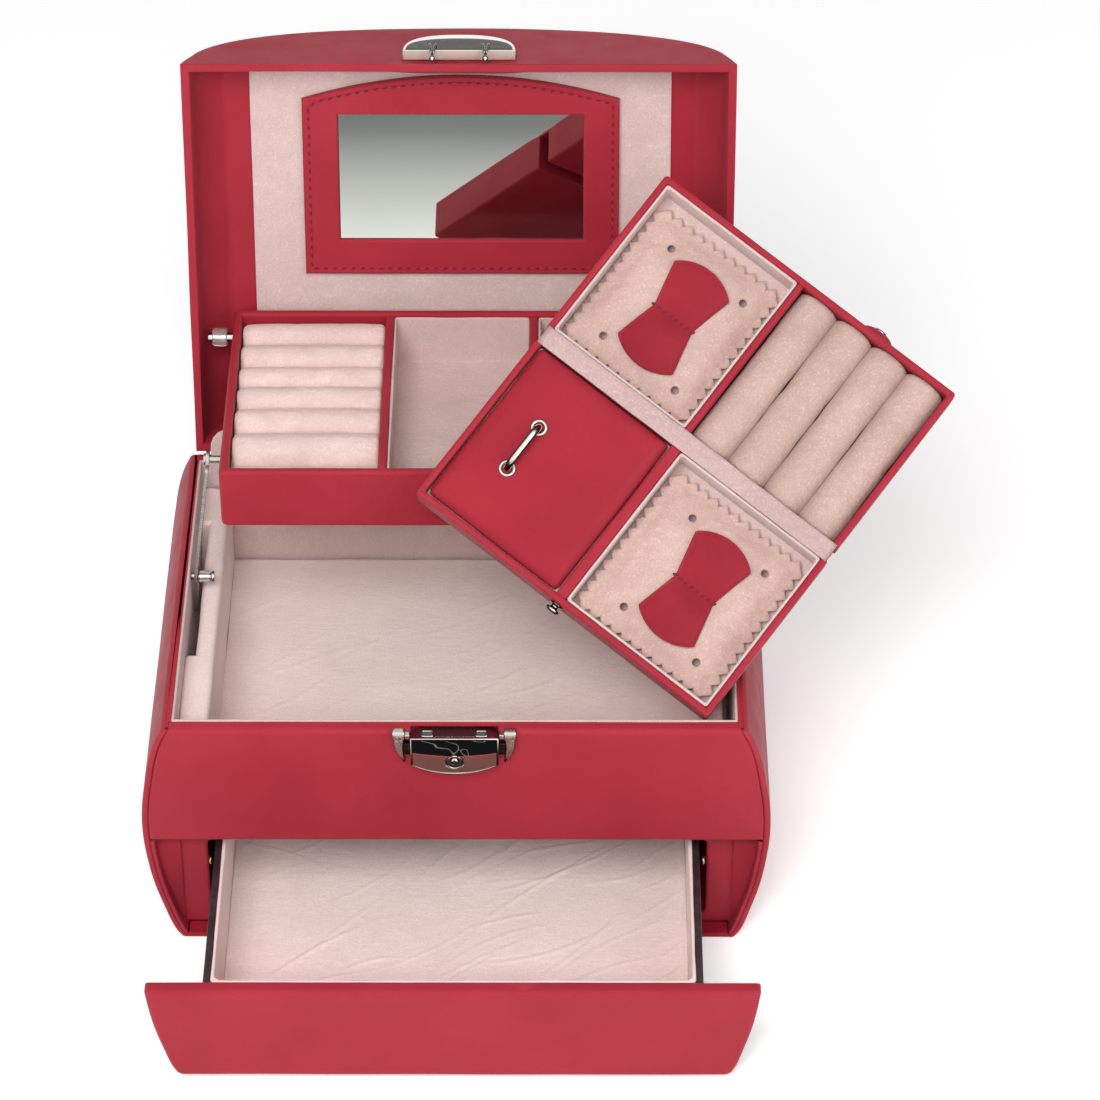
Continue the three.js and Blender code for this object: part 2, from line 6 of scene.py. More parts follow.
import bmesh
import bpy
import numpy as np
from mathutils import Matrix, Vector, noise
from mathutils.bvhtree import BVHTree


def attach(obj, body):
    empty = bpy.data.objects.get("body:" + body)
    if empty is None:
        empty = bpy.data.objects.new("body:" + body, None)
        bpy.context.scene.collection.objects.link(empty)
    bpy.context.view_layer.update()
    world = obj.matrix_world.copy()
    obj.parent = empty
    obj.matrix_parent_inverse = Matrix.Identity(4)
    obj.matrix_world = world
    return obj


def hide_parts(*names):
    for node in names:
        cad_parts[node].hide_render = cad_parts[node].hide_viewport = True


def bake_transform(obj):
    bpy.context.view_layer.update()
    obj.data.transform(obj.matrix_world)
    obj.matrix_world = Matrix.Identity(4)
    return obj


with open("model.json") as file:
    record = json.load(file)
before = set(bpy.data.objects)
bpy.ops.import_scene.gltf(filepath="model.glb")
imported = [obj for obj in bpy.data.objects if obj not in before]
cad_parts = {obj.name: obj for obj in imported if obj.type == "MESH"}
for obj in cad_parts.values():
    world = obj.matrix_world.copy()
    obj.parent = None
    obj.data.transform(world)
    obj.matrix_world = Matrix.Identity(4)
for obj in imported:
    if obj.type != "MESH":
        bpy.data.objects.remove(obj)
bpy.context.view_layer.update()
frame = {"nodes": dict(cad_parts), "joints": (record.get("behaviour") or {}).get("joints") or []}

MM = 0.001
UP = Vector((0, 0, 1))
ALONG_X = Vector((1, 0, 0))
ALONG_Y = Vector((0, 1, 0))


# ---------------------------------------------------------------- places worked out from the frame
def joint(name):
    return next(j for j in frame["joints"] if j["name"] == name)


def placement(x, y, z, origin=(0, 0, 0)):
    matrix = Matrix((x, y, z)).transposed().to_4x4()
    matrix.translation = origin
    return matrix


def rotated_place(origin, degrees, axis):
    return Matrix.Translation(origin) @ Matrix.Rotation(math.radians(degrees), 4, axis)


WORLD = Matrix.Identity(4)
FRONT = placement(ALONG_X, UP, -ALONG_Y)      # x across, y up, z out of the front
BACK = placement(-ALONG_X, UP, ALONG_Y)
LID = rotated_place(joint("lid_hinge")["pos_m"], -joint("lid_hinge")["range_deg"][1], "X")
LID_INSIDE = LID @ placement(ALONG_X, -ALONG_Y, -UP)   # x across, y from the hinge, z into the lid's room
case_u = Vector(joint("case_fold")["axis"])
case_n = Vector(joint("case_lift")["axis"])
FOLD_LIFT = 0.3 * MM
CASE = placement(case_u, case_n.cross(case_u), case_n, Vector(joint("case_fold")["pos_m"]) - case_n * FOLD_LIFT)


class Box:
    """The box of one or more CAD nodes, measured in a place's own axes."""

    def __init__(self, nodes, place=WORLD):
        inverse = place.inverted()
        names = [nodes] if isinstance(nodes, str) else nodes
        points = [inverse @ v.co for n in names for v in frame["nodes"][n].data.vertices]
        self.x0, self.y0, self.z0 = (min(p[i] for p in points) for i in range(3))
        self.x1, self.y1, self.z1 = (max(p[i] for p in points) for i in range(3))

    @property
    def centre(self):
        return Vector(((self.x0 + self.x1) / 2, (self.y0 + self.y1) / 2, (self.z0 + self.z1) / 2))


def barrel_profile():
    """Heights and half-widths of the barrel-shaped side, read from the right side panel's back end."""
    corners = frame["nodes"]["side_panel_right"].data.vertices
    back = max(v.co.y for v in corners)
    widths = {}
    for v in corners:
        if v.co.y > back - 0.1 * MM:
            key = round(v.co.z, 4)
            widths[key] = max(widths.get(key, 0), v.co.x)
    return np.array(sorted(widths.items()))


PROFILE = barrel_profile()
SLOPES = np.gradient(PROFILE[:, 1], PROFILE[:, 0])


def barrel(z):
    """The body's half-width at a height, as a smooth curve through the panel's corners."""
    z = min(max(z, PROFILE[0, 0]), PROFILE[-1, 0])
    i = int(np.clip(np.searchsorted(PROFILE[:, 0], z) - 1, 0, len(PROFILE) - 2))
    z0, z1 = PROFILE[i, 0], PROFILE[i + 1, 0]
    span = z1 - z0
    t = (z - z0) / span
    start, end = PROFILE[i, 1], PROFILE[i + 1, 1]
    return float(
        (2 * t**3 - 3 * t**2 + 1) * start + (t**3 - 2 * t**2 + t) * span * SLOPES[i]
        + (3 * t**2 - 2 * t**3) * end + (t**3 - t**2) * span * SLOPES[i + 1]
    )


# ---------------------------------------------------------------- node materials
class Nodes:
    """A short way to wire a node material."""

    def __init__(self, name):
        self.material = bpy.data.materials.new(name)
        self.material.use_nodes = True
        self.tree = self.material.node_tree
        self.shader = self.tree.nodes["Principled BSDF"]
        self.place = self.add("ShaderNodeTexCoord").outputs["Object"]

    def add(self, kind, **values):
        node = self.tree.nodes.new(kind)
        for key, value in values.items():
            setattr(node, key, value)
        return node

    def link(self, a, b):
        self.tree.links.new(a, b)

    def set(self, **values):
        for key, value in values.items():
            self.shader.inputs[key.replace("_", " ")].default_value = value

    def noise(self, scale, detail=3.0, stretch=None, distortion=0.0):
        node = self.add("ShaderNodeTexNoise")
        node.inputs["Scale"].default_value = scale
        node.inputs["Detail"].default_value = detail
        node.inputs["Distortion"].default_value = distortion
        source = self.place
        if stretch:
            mapping = self.add("ShaderNodeMapping")
            mapping.inputs["Scale"].default_value = stretch
            mapping.inputs["Rotation"].default_value = (0.3, 0.5, 0.9)
            self.link(self.place, mapping.inputs["Vector"])
            source = mapping.outputs["Vector"]
        self.link(source, node.inputs["Vector"])
        return node.outputs["Fac"]

    def cells(self, scale, feature="F1"):
        node = self.add("ShaderNodeTexVoronoi", feature=feature)
        node.inputs["Scale"].default_value = scale
        self.link(self.place, node.inputs["Vector"])
        return node.outputs["Distance"]

    def ramp(self, source, *stops):
        node = self.add("ShaderNodeValToRGB")
        elements = node.color_ramp.elements
        while len(elements) < len(stops):
            elements.new(0.5)
        for element, (position, colour) in zip(elements, stops):
            element.position = position
            element.color = (*colour, 1) if len(colour) == 3 else colour
        self.link(source, node.inputs["Fac"])
        return node.outputs["Color"]

    def mix(self, factor, a, b, mode="MIX"):
        node = self.add("ShaderNodeMix", data_type="RGBA", blend_type=mode)
        for value, socket in ((factor, node.inputs["Factor"]), (a, node.inputs["A"]), (b, node.inputs["B"])):
            self.feed(value, socket)
        return node.outputs["Result"]

    def feed(self, value, socket):
        if isinstance(value, bpy.types.NodeSocket):
            self.link(value, socket)
        elif isinstance(value, tuple) and len(value) == 3:
            socket.default_value = (*value, 1)
        else:
            socket.default_value = value

    def spread(self, source, low, high):
        node = self.add("ShaderNodeMapRange")
        self.link(source, node.inputs["Value"])
        node.inputs["From Min"].default_value = 0.3
        node.inputs["From Max"].default_value = 0.7
        node.inputs["To Min"].default_value = low
        node.inputs["To Max"].default_value = high
        return node.outputs["Result"]

    def bumps(self, *layers):
        """Each layer is a height source, a strength and a depth in metres."""
        normal = None
        for source, strength, depth in layers:
            node = self.add("ShaderNodeBump")
            node.inputs["Strength"].default_value = strength
            node.inputs["Distance"].default_value = depth
            self.link(source, node.inputs["Height"])
            if normal:
                self.link(normal, node.inputs["Normal"])
            normal = node.outputs["Normal"]
        self.link(normal, self.shader.inputs["Normal"])


def leather(name, colour, deep, roughness=0.46, sheen=0.02):
    """Smooth coated leather: fine pores, soft unevenness, and a painted highlight that lightens its sharp edges."""
    n = Nodes(name)
    broad = n.noise(26, 4)
    tint = n.ramp(broad, (0.3, deep), (0.7, colour))
    pores = n.cells(1300)
    fine = n.noise(2600, 2)
    tint = n.mix(n.ramp(pores, (0.0, (0.5, 0.5, 0.5)), (0.35, (0, 0, 0))), tint, tuple(c * 0.8 for c in deep))
    # painted highlight: sharp edges, found by pointiness, get a lighter red
    edge = n.add("ShaderNodeNewGeometry").outputs["Pointiness"]
    edge_highlight = n.ramp(edge, (0.515, (0, 0, 0)), (0.60, (0.5, 0.5, 0.5)))
    tint = n.mix(edge_highlight, tint, tuple(min(1, c * 1.25 + 0.012) for c in colour))
    n.link(tint, n.shader.inputs["Base Color"])
    n.link(n.spread(n.noise(70, 4), roughness - 0.06, roughness + 0.07), n.shader.inputs["Roughness"])
    n.set(Sheen_Weight=sheen, Sheen_Roughness=0.4, Sheen_Tint=(1, 0.7, 0.78, 1), Specular_IOR_Level=0.16)
    n.bumps((broad, 0.3, 0.0014), (n.noise(150, 4), 0.35, 0.0003), (pores, 0.2, 0.00014), (fine, 0.16, 0.00007))
    return n.material


def velour(name, colour, deep, crease=0.35, curl=0.0):
    """Short-pile suede: brushed patches of nap, small creases, speckled fibres. curl adds fine curly wrinkles."""
    n = Nodes(name)
    nap = n.noise(48, 5, distortion=0.6)
    brushed = n.noise(160, 4, stretch=(1, 3.2, 1))
    fibre = n.noise(1100, 4)
    tint = n.ramp(nap, (0.28, deep), (0.72, colour))
    tint = n.mix(n.ramp(brushed, (0.35, (0, 0, 0)), (0.75, (0.45, 0.45, 0.45))), tint, tuple(c * 0.9 for c in deep))
    tint = n.mix(n.ramp(fibre, (0.30, (0.42, 0.42, 0.42)), (0.56, (0, 0, 0))), tint, tuple(c * 0.74 for c in colour))
    tint = n.mix(n.ramp(fibre, (0.55, (0, 0, 0)), (0.75, (0.3, 0.3, 0.3))), tint, (0.9, 0.78, 0.74))
    n.link(tint, n.shader.inputs["Base Color"])
    n.link(n.spread(nap, 0.86, 0.98), n.shader.inputs["Roughness"])
    n.set(Sheen_Weight=0.22, Sheen_Roughness=0.5, Sheen_Tint=(1, 0.93, 0.9, 1), Specular_IOR_Level=0.2)
    lines = n.cells(26, "DISTANCE_TO_EDGE")
    folds = n.ramp(lines, (0.0, (1, 1, 1)), (0.03, (0, 0, 0)))
    n.bumps((folds, crease * 0.3, 0.0004), (brushed, crease, 0.0006), (fibre, 0.5, 0.00025),
            (n.noise(300, 4, distortion=2.4), curl, 0.0006))
    return n.material


def metal(name, colour, dark, roughness=0.1, contrast=1.0, highlight_band=0.07):
    """Plated metal: a painted reflection, bright where it faces the eye and near-black round its curves, with hairlines
    and light tarnish.
    """
    n = Nodes(name)
    # painted reflection: colour bands set by how squarely the surface faces the eye
    facing = n.add("ShaderNodeLayerWeight")
    facing.inputs["Blend"].default_value = 0.5
    black = tuple(c * (1 - 0.95 * contrast) for c in colour)
    half = tuple(c * (1 - 0.55 * contrast) for c in colour)
    painted_reflection = n.ramp(facing.outputs["Facing"], (0.0, colour), (highlight_band, colour), (2 * highlight_band, half), (2 * highlight_band + 0.08, black), (0.60, black),
                   (0.70, tuple(c * (1 - 0.3 * contrast) for c in colour)), (0.82, half), (1.0, black))
    tint = n.mix(n.ramp(n.noise(300, 4), (0.55, (0, 0, 0)), (0.85, (0.2, 0.2, 0.2))), painted_reflection, dark)
    n.link(tint, n.shader.inputs["Base Color"])
    n.link(n.spread(n.noise(900, 3, stretch=(1, 12, 1)), roughness * 0.7, roughness * 1.5), n.shader.inputs["Roughness"])
    n.set(Metallic=1.0)
    n.bumps((n.noise(420, 3), 0.02, 0.00005), (n.noise(2500, 2, stretch=(1, 20, 1)), 0.02, 0.00002))
    return n.material


def dark_paper(name, colour, fleck):
    """Leatherette paper on board: fine embossed cells, dusty flecks."""
    n = Nodes(name)
    cells = n.cells(900)
    n.link(n.mix(n.ramp(n.noise(240, 5), (0.45, (0, 0, 0)), (0.8, (0.7, 0.7, 0.7))), colour, fleck),
           n.shader.inputs["Base Color"])
    n.link(n.spread(n.noise(60, 3), 0.5, 0.72), n.shader.inputs["Roughness"])
    n.bumps((n.noise(30, 3), 0.2, 0.0008), (cells, 0.35, 0.00018))
    return n.material


def woven(name, colour, fleck):
    """Coarse black cloth: two crossing thread waves."""
    n = Nodes(name)
    threads = []
    for axis in ("X", "Y"):
        wave = n.add("ShaderNodeTexWave", bands_direction=axis)
        wave.inputs["Scale"].default_value = 420
        wave.inputs["Distortion"].default_value = 1.2
        n.link(n.place, wave.inputs["Vector"])
        threads.append(wave.outputs["Fac"])
    weave = n.mix(0.5, threads[0], threads[1], "MULTIPLY")
    n.link(n.mix(weave, colour, fleck), n.shader.inputs["Base Color"])
    n.link(n.spread(n.noise(100, 3), 0.85, 0.98), n.shader.inputs["Roughness"])
    n.bumps((weave, 0.5, 0.0003))
    return n.material


def thread(name, colour, deep):
    """Twisted sewing thread."""
    n = Nodes(name)
    wave = n.add("ShaderNodeTexWave", bands_direction="DIAGONAL")
    wave.inputs["Scale"].default_value = 900
    n.link(n.place, wave.inputs["Vector"])
    n.link(n.mix(wave.outputs["Fac"], deep, colour), n.shader.inputs["Base Color"])
    n.link(n.spread(n.noise(800), 0.5, 0.7), n.shader.inputs["Roughness"])
    n.bumps((wave.outputs["Fac"], 0.4, 0.0001))
    return n.material


def clear_tube(name):
    """Clear plastic with a milky, slightly scuffed skin."""
    n = Nodes(name)
    scuff = n.noise(500, 4, stretch=(1, 4, 1))
    n.link(n.ramp(scuff, (0.3, (0.97, 0.97, 0.98)), (0.8, (0.86, 0.88, 0.9))), n.shader.inputs["Base Color"])
    n.link(n.spread(scuff, 0.04, 0.16), n.shader.inputs["Roughness"])
    n.set(Transmission_Weight=0.88, IOR=1.46)
    n.bumps((scuff, 0.08, 0.00008))
    return n.material


def silvering(name):
    """Mirror glass: a near-perfect reflection with very faint smears."""
    n = Nodes(name)
    smear = n.noise(14, 4, stretch=(1, 2, 1))
    n.link(n.ramp(smear, (0.3, (0.93, 0.95, 0.93)), (0.7, (0.90, 0.92, 0.90))), n.shader.inputs["Base Color"])
    n.link(n.spread(smear, 0.005, 0.02), n.shader.inputs["Roughness"])
    n.set(Metallic=1.0)
    n.bumps((n.noise(5, 1), 0.01, 0.0001))
    return n.material


RED = (0.36, 0.026, 0.042)
RED_DEEP = (0.31, 0.020, 0.033)
BLUSH = (0.66, 0.50, 0.475)
BLUSH_DEEP = (0.58, 0.43, 0.405)
RED_LEATHER = leather("red_leather", RED, RED_DEEP)
FLAP_LEATHER = leather("flap_leather", (0.30, 0.020, 0.032), (0.235, 0.013, 0.023), roughness=0.42, sheen=0.0)
# painted shade: a darker copy of the red leather for the case cover, which faces the light
SHADED_COVER_LEATHER = leather("cover_leather_painted_shade", (0.33, 0.022, 0.036), (0.28, 0.017, 0.029), roughness=0.46, sheen=0.0)
EDGE_LEATHER = leather("edge_leather", (0.33, 0.016, 0.028), (0.26, 0.011, 0.02), roughness=0.45)
SUEDE = velour("suede", BLUSH, BLUSH_DEEP)
# painted light: a paler copy of the suede for the deep compartment and drawer, standing in for the light that reaches
# them
PAINTED_LIGHT_SUEDE = velour("floor_suede_painted_light", (0.88, 0.71, 0.675), (0.82, 0.65, 0.615), crease=0.3)
ROLL_SUEDE = velour("roll_suede", (0.57, 0.40, 0.35), (0.47, 0.32, 0.28), crease=0.5, curl=0.45)
TRAY_ROLL_SUEDE = velour("tray_roll_suede", (0.78, 0.60, 0.555), (0.66, 0.49, 0.45), crease=0.5, curl=0.45)
SPINE_SUEDE = velour("spine_suede", (0.54, 0.375, 0.36), (0.46, 0.315, 0.305), crease=0.25)
CHROME = metal("warm_chrome", (0.90, 0.86, 0.77), (0.36, 0.31, 0.25))
STEEL = metal("brushed_steel", (0.74, 0.69, 0.62), (0.26, 0.22, 0.18), roughness=0.2, contrast=0.75)
BRASS = metal("dull_brass", (0.80, 0.56, 0.26), (0.3, 0.18, 0.07), roughness=0.2, contrast=0.6)
# near-black paper; in the keyhole, the lock's recess and the divider board behind the drawer its blackness is painted
# shade
PAPER_AND_PAINTED_SHADE = dark_paper("dark_paper", (0.018, 0.009, 0.010), (0.06, 0.035, 0.036))
BLACK_CLOTH = woven("black_weave", (0.006, 0.005, 0.006), (0.03, 0.026, 0.028))
THREAD = thread("thread", (0.22, 0.011, 0.026), (0.11, 0.005, 0.012))
HOLE_THREAD = thread("hole_thread", (0.50, 0.33, 0.29), (0.26, 0.16, 0.14))
PAD_SUEDE = velour("pad_suede", (0.62, 0.435, 0.385), (0.50, 0.335, 0.295), crease=0.5, curl=0.3)
RED_THREAD = thread("red_thread", (0.42, 0.04, 0.07), (0.27, 0.015, 0.03))
CLEAR = clear_tube("clear_tube")
MIRROR = silvering("mirror_silver")


# ---------------------------------------------------------------- shapes: (points, faces)
def merged(*shapes):
    points, faces = [], []
    for more_points, more_faces in shapes:
        start = len(points)
        points += more_points
        faces += [[start + i for i in face] for face in more_faces]
    return points, faces


def moved(shape, matrix):
    return [matrix @ Vector(p) for p in shape[0]], shape[1]


def mirrored(shape):
    return [Vector((-p[0], p[1], p[2])) for p in shape[0]], [face[::-1] for face in shape[1]]


def hand(shape, sign):
    """The shape as drawn for the right side, or mirrored for the left."""
    return shape if sign > 0 else mirrored(shape)


def warped(shape, rule):
    return [rule(Vector(p)) for p in shape[0]], shape[1]


def patch(rows):
    """A grid of points, rows of equal length, as quads."""
    width = len(rows[0])
    points = [p for row in rows for p in row]
    faces = [
        [r * width + c, r * width + c + 1, (r + 1) * width + c + 1, (r + 1) * width + c]
        for r in range(len(rows) - 1) for c in range(width - 1)
    ]
    return points, faces


def loft(loops, closed_ends=True, ring=False):
    """Skins a run of closed loops. ring joins the last loop to the first."""
    size = len(loops[0])
    points = [Vector(p) for loop in loops for p in loop]
    spans = len(loops) if ring else len(loops) - 1
    faces = []
    for r in range(spans):
        below, above = r * size, ((r + 1) % len(loops)) * size
        faces += [[below + c, below + (c + 1) % size, above + (c + 1) % size, above + c] for c in range(size)]
    if closed_ends and not ring:
        faces.append(list(range(size))[::-1])
        faces.append([(len(loops) - 1) * size + c for c in range(size)])
    return points, faces


def span(start, end, step):
    """Evenly spaced stops from start to end, no further apart than step."""
    count = max(1, math.ceil(abs(end - start) / step - 1e-6))
    return [start + (end - start) * i / count for i in range(count + 1)]


def turn(start, end, count):
    """Angles in radians from start to end degrees."""
    return [math.radians(start + (end - start) * i / count) for i in range(count + 1)]


def rounded_stops(low, high, radius, step, bends=3):
    """Stops across a side whose edges are rounded: close together inside each edge's radius."""
    near = [low + radius * (1 - math.tan(a)) for a in turn(45, 0, bends)]
    far = [high - radius * (1 - math.tan(a)) for a in turn(0, 45, bends)]
    return near + span(low + radius, high - radius, step)[1:-1] + far


def round_box(low, high, radius, step=8 * MM, bends=3):
    """A box with rounded edges and an even grid over each face."""
    low, high = Vector(low), Vector(high)
    radius = min(radius, min(high - low) * 0.499)
    stops = [rounded_stops(low[i], high[i], radius, step, bends) for i in range(3)]

    def settle(p):
        core = Vector(min(max(p[i], low[i] + radius), high[i] - radius) for i in range(3))
        away = p - core
        return core + away.normalized() * radius if away.length > 1e-9 else p

    faces = []
    for axis in range(3):
        u, v = [i for i in range(3) if i != axis]
        for level in (low[axis], high[axis]):
            rows = []
            for a in stops[u]:
                row = []
                for b in stops[v]:
                    p = Vector((0, 0, 0))
                    p[axis], p[u], p[v] = level, a, b
                    row.append(settle(p))
                rows.append(row)
            faces.append(patch(rows))
    return merged(*faces)


def rect_loop(x0, x1, y0, y1, z, radius, step=8 * MM, counts=None):
    """A rounded rectangle at height z, the same number of points for the same counts."""
    radius = max(min(radius, (x1 - x0) / 2.01, (y1 - y0) / 2.01), 0.02 * MM)
    nx, ny = counts or (max(1, round((x1 - x0) / step)), max(1, round((y1 - y0) / step)))
    corners = [(x1 - radius, y0 + radius, -90), (x1 - radius, y1 - radius, 0),
               (x0 + radius, y1 - radius, 90), (x0 + radius, y0 + radius, 180)]
    loop = []
    for i, (cx, cy, angle) in enumerate(corners):
        bend = [Vector((cx + radius * math.cos(a), cy + radius * math.sin(a), z)) for a in turn(angle, angle + 90, 4)]
        loop += bend
        nx_, ny_, start = corners[(i + 1) % 4]
        following = Vector((nx_ + radius * math.cos(math.radians(start)), ny_ + radius * math.sin(math.radians(start)), z))
        pieces = ny if i % 2 == 0 else nx
        loop += [bend[-1].lerp(following, k / pieces) for k in range(1, pieces)]
    return loop


def open_box(x0, x1, y0, y1, z0, z1, wall, floor, rim, corner, inner_corner=None, low_round=0.8 * MM, step=8 * MM,
             side_bend=0.0):
    """A tray: outer walls, a rounded rim and an inner pocket. side_bend rounds the lower edges of the x sides."""
    counts = (max(1, round((x1 - x0) / step)), max(1, round((y1 - y0) / step)))
    inner_corner = corner if inner_corner is None else inner_corner
    loops = []

    def level(inset_x, inset_y, z, radius):
        loops.append(rect_loop(x0 + inset_x, x1 - inset_x, y0 + inset_y, y1 - inset_y, z, radius, counts=counts))

    bend = max(side_bend, low_round)
    for a in turn(0, 90, 5):
        rise = bend * (1 - math.cos(a))
        inset_y = low_round - math.sqrt(max(low_round**2 - max(low_round - rise, 0) ** 2, 0))
        level(bend * (1 - math.sin(a)), inset_y, z0 + rise, corner)
    for z in span(z0 + bend, z1 - rim, step)[1:]:
        level(0, 0, z, corner)
    for a in turn(15, 90, 4):
        level(rim * (1 - math.cos(a)), rim * (1 - math.cos(a)), z1 - rim + rim * math.sin(a), corner)
    for a in turn(90, 0, 4):
        inset = wall - rim + rim * math.cos(a)
        level(inset, inset, z1 - rim + rim * math.sin(a), inner_corner)
    for z in span(z1 - rim, z0 + floor + 0.4 * MM, step)[1:]:
        level(wall, wall, z, inner_corner)
    level(wall + 0.4 * MM, wall + 0.4 * MM, z0 + floor, inner_corner)
    return loft(loops)


def edge_offsets(length, radius, step, bends=4):
    """Distances along a side: packed inside the rounded edge at both ends."""
    near = [radius * (1 - math.cos(a)) for a in turn(0, 90, bends)]
    middle = span(radius, length - radius, step)[1:-1]
    return near + middle + [length - d for d in reversed(near)]


def slab(v0, v1, half_width, base, top, side_round, end_round, step=5 * MM, crown=0.0, height=None, centre=0.0):
    """A padded panel: an outline given as half-width against v, rounded edges, a crowned top.
    Its axes are u across, v along and height."""
    rows_top, rows_low = [], []
    widest = max(half_width(v0 + (v1 - v0) * i / 20) for i in range(21))
    columns = max(2, round(2 * (widest - side_round) / step))
    for dv in edge_offsets(v1 - v0, end_round, step):
        v = v0 + dv
        half = max(half_width(v), side_round * 0.3)
        near = [side_round * (1 - math.cos(a)) for a in turn(0, 90, 4)]
        scale = min(1.0, half / (side_round + 0.1 * MM))
        near = [d * scale for d in near]
        inner = [-half + near[-1] + (2 * half - 2 * near[-1]) * i / columns for i in range(1, columns)]
        stops = [-half + d for d in near] + inner + [half - d for d in reversed(near)]
        row_top, row_low = [], []
        for u in stops:
            du, dend = half - abs(u), min(dv, v1 - v0 - dv)
            drop = 0.0
            if side_round > 0 and du < side_round:
                drop = max(drop, side_round - math.sqrt(max(side_round**2 - (side_round - du) ** 2, 0)))
            if dend < end_round:
                end_drop = end_round - math.sqrt(max(end_round**2 - (end_round - dend) ** 2, 0))
                drop = math.hypot(drop, end_drop)
            drop = min(drop, max(side_round, end_round))
            z = top - drop
            if crown:
                z += crown * (1 - (u / widest) ** 4) * (1 - ((v - (v0 + v1) / 2) / ((v1 - v0) / 2)) ** 4) - crown
            if height:
                z += height(u, v, du, dend)
            row_top.append(Vector((centre + u, v, max(z, base + 0.02 * MM))))
            row_low.append(Vector((centre + u, v, base)))
        rows_top.append(row_top)
        rows_low.append(row_low)

    def rim(rows):
        return rows[0][:-1] + [r[-1] for r in rows[:-1]] + rows[-1][:0:-1] + [r[0] for r in rows[:0:-1]]

    walls = loft([rim(rows_low), rim(rows_top)], closed_ends=False)
    return merged(patch(rows_top), patch([row[::-1] for row in rows_low]), walls)


def inset_loop(outline, inset):
    """Moves a closed counter-clockwise outline inwards."""
    out = []
    for i, p in enumerate(outline):
        a = (p - outline[i - 1]).normalized()
        b = (outline[(i + 1) % len(outline)] - p).normalized()
        inward = Vector((-a.y - b.y, a.x + b.x))
        out.append(p + inward / max(inward.length_squared / 2, 0.35) * inset)
    return out


def plate(outline, levels):
    """A flat part: the outline at each (inset, height) in turn, closed at both ends."""
    outline = [Vector((p[0], p[1])) for p in outline]
    return loft([[Vector((q.x, q.y, z)) for q in inset_loop(outline, inset)] for inset, z in levels])


def soft_edge(base, top, radius, steps=4):
    """Levels of a plate whose upper edge is rounded."""
    return [(0, base)] + [(radius * (1 - math.cos(a)), top - radius + radius * math.sin(a)) for a in turn(0, 90, steps)]


def tube(path, radius, sides=10, ends=True):
    """A round bar along a path, its ends domed."""
    path = [Vector(p) for p in path]
    loops = []
    tangent = (path[1] - path[0]).normalized()
    side = tangent.orthogonal().normalized()
    radii = [radius] * len(path)
    if ends:
        cap = [path[0] - tangent * radius * math.sin(a) for a in turn(80, 20, 2)]
        last = (path[-1] - path[-2]).normalized()
        tail = [path[-1] + last * radius * math.sin(a) for a in turn(20, 80, 2)]
        radii = [radius * math.cos(a) for a in turn(80, 20, 2)] + radii + [radius * math.cos(a) for a in turn(20, 80, 2)]
        path = cap + path + tail
    for i, p in enumerate(path):
        ahead = path[min(i + 1, len(path) - 1)] - path[max(i - 1, 0)]
        direction = ahead.normalized()
        side = (side - direction * side.dot(direction)).normalized()
        other = direction.cross(side)
        loops.append([p + (side * math.cos(a) + other * math.sin(a)) * radii[i] for a in turn(0, 360, sides)[:-1]])
    return loft(loops)


def lathe(profile, origin, direction, sides=24):
    """A turned part: (distance along the axis, radius) pairs."""
    direction = Vector(direction).normalized()
    side = direction.orthogonal().normalized()
    other = direction.cross(side)
    loops = [
        [Vector(origin) + direction * d + (side * math.cos(a) + other * math.sin(a)) * max(r, 0.01 * MM)
         for a in turn(0, 360, sides)[:-1]]
        for d, r in profile
    ]
    return loft(loops)


def pin_profile(length, radius, chamfer=0.3 * MM):
    return [(0, radius - chamfer), (chamfer * 0.3, radius - chamfer * 0.3), (chamfer, radius),
            (length - chamfer, radius), (length - chamfer * 0.3, radius - chamfer * 0.3), (length, radius - chamfer)]


def catmull(points, per_span=8):
    """A smooth curve through points."""
    points = [Vector(p) for p in points]
    padded = [points[0] * 2 - points[1]] + points + [points[-1] * 2 - points[-2]]
    out = []
    for i in range(1, len(padded) - 2):
        a, b, c, d = padded[i - 1:i + 3]
        for k in range(per_span):
            t = k / per_span
            out.append(0.5 * ((2 * b) + (c - a) * t + (2 * a - 5 * b + 4 * c - d) * t**2 + (3 * b - a - 3 * c + d) * t**3))
    return out + [points[-1]]


def along(path, pitch, closed=False, phase=0.0):
    """Points and directions at an even pitch along a path."""
    path = [Vector(p) for p in path]
    if closed:
        path.append(path[0])
    lengths = [0.0]
    for a, b in zip(path, path[1:]):
        lengths.append(lengths[-1] + (b - a).length)
    count = max(1, round(lengths[-1] / pitch))
    out = []
    for i in range(count):
        where = lengths[-1] * ((i + 0.5 + phase) % count) / count
        k = max(0, np.searchsorted(lengths, where) - 1)
        share = (where - lengths[k]) / max(lengths[k + 1] - lengths[k], 1e-9)
        out.append((path[k].lerp(path[k + 1], share), (path[k + 1] - path[k]).normalized()))
    return out


def stitches(path, pitch, length, width, up, closed=False, slant=0.0, phase=0.0):
    """A row of thread stitches, each a flattened bead sunk into the leather."""
    beads = []
    up = Vector(up).normalized()
    for point, direction in along(path, pitch, closed, phase):
        across = up.cross(direction).normalized()
        heading = (direction + across * slant).normalized()
        across = up.cross(heading).normalized()
        rows = []
        for a in turn(-75, 75, 6):
            ring = []
            for b in turn(0, 360, 8)[:-1]:
                ring.append(point + heading * (length / 2) * math.sin(a)
                            + (across * math.cos(b) + up * math.sin(b) * 0.75) * (width / 2) * math.cos(a))
            rows.append(ring)
        beads.append(loft(rows))
    return merged(*beads)


def extruded(section, start, end, step, chamfer=0.0):
    """A closed (y, z) section drawn out along x, its ends optionally chamfered."""
    outline = [Vector(p) for p in section]
    stops = [(x, 0.0) for x in span(start + chamfer, end - chamfer, step)]
    if chamfer:
        stops = [(start, chamfer)] + stops + [(end, chamfer)]
    return loft([[Vector((x, p.x, p.y)) for p in inset_loop(outline, inset)] for x, inset in stops])


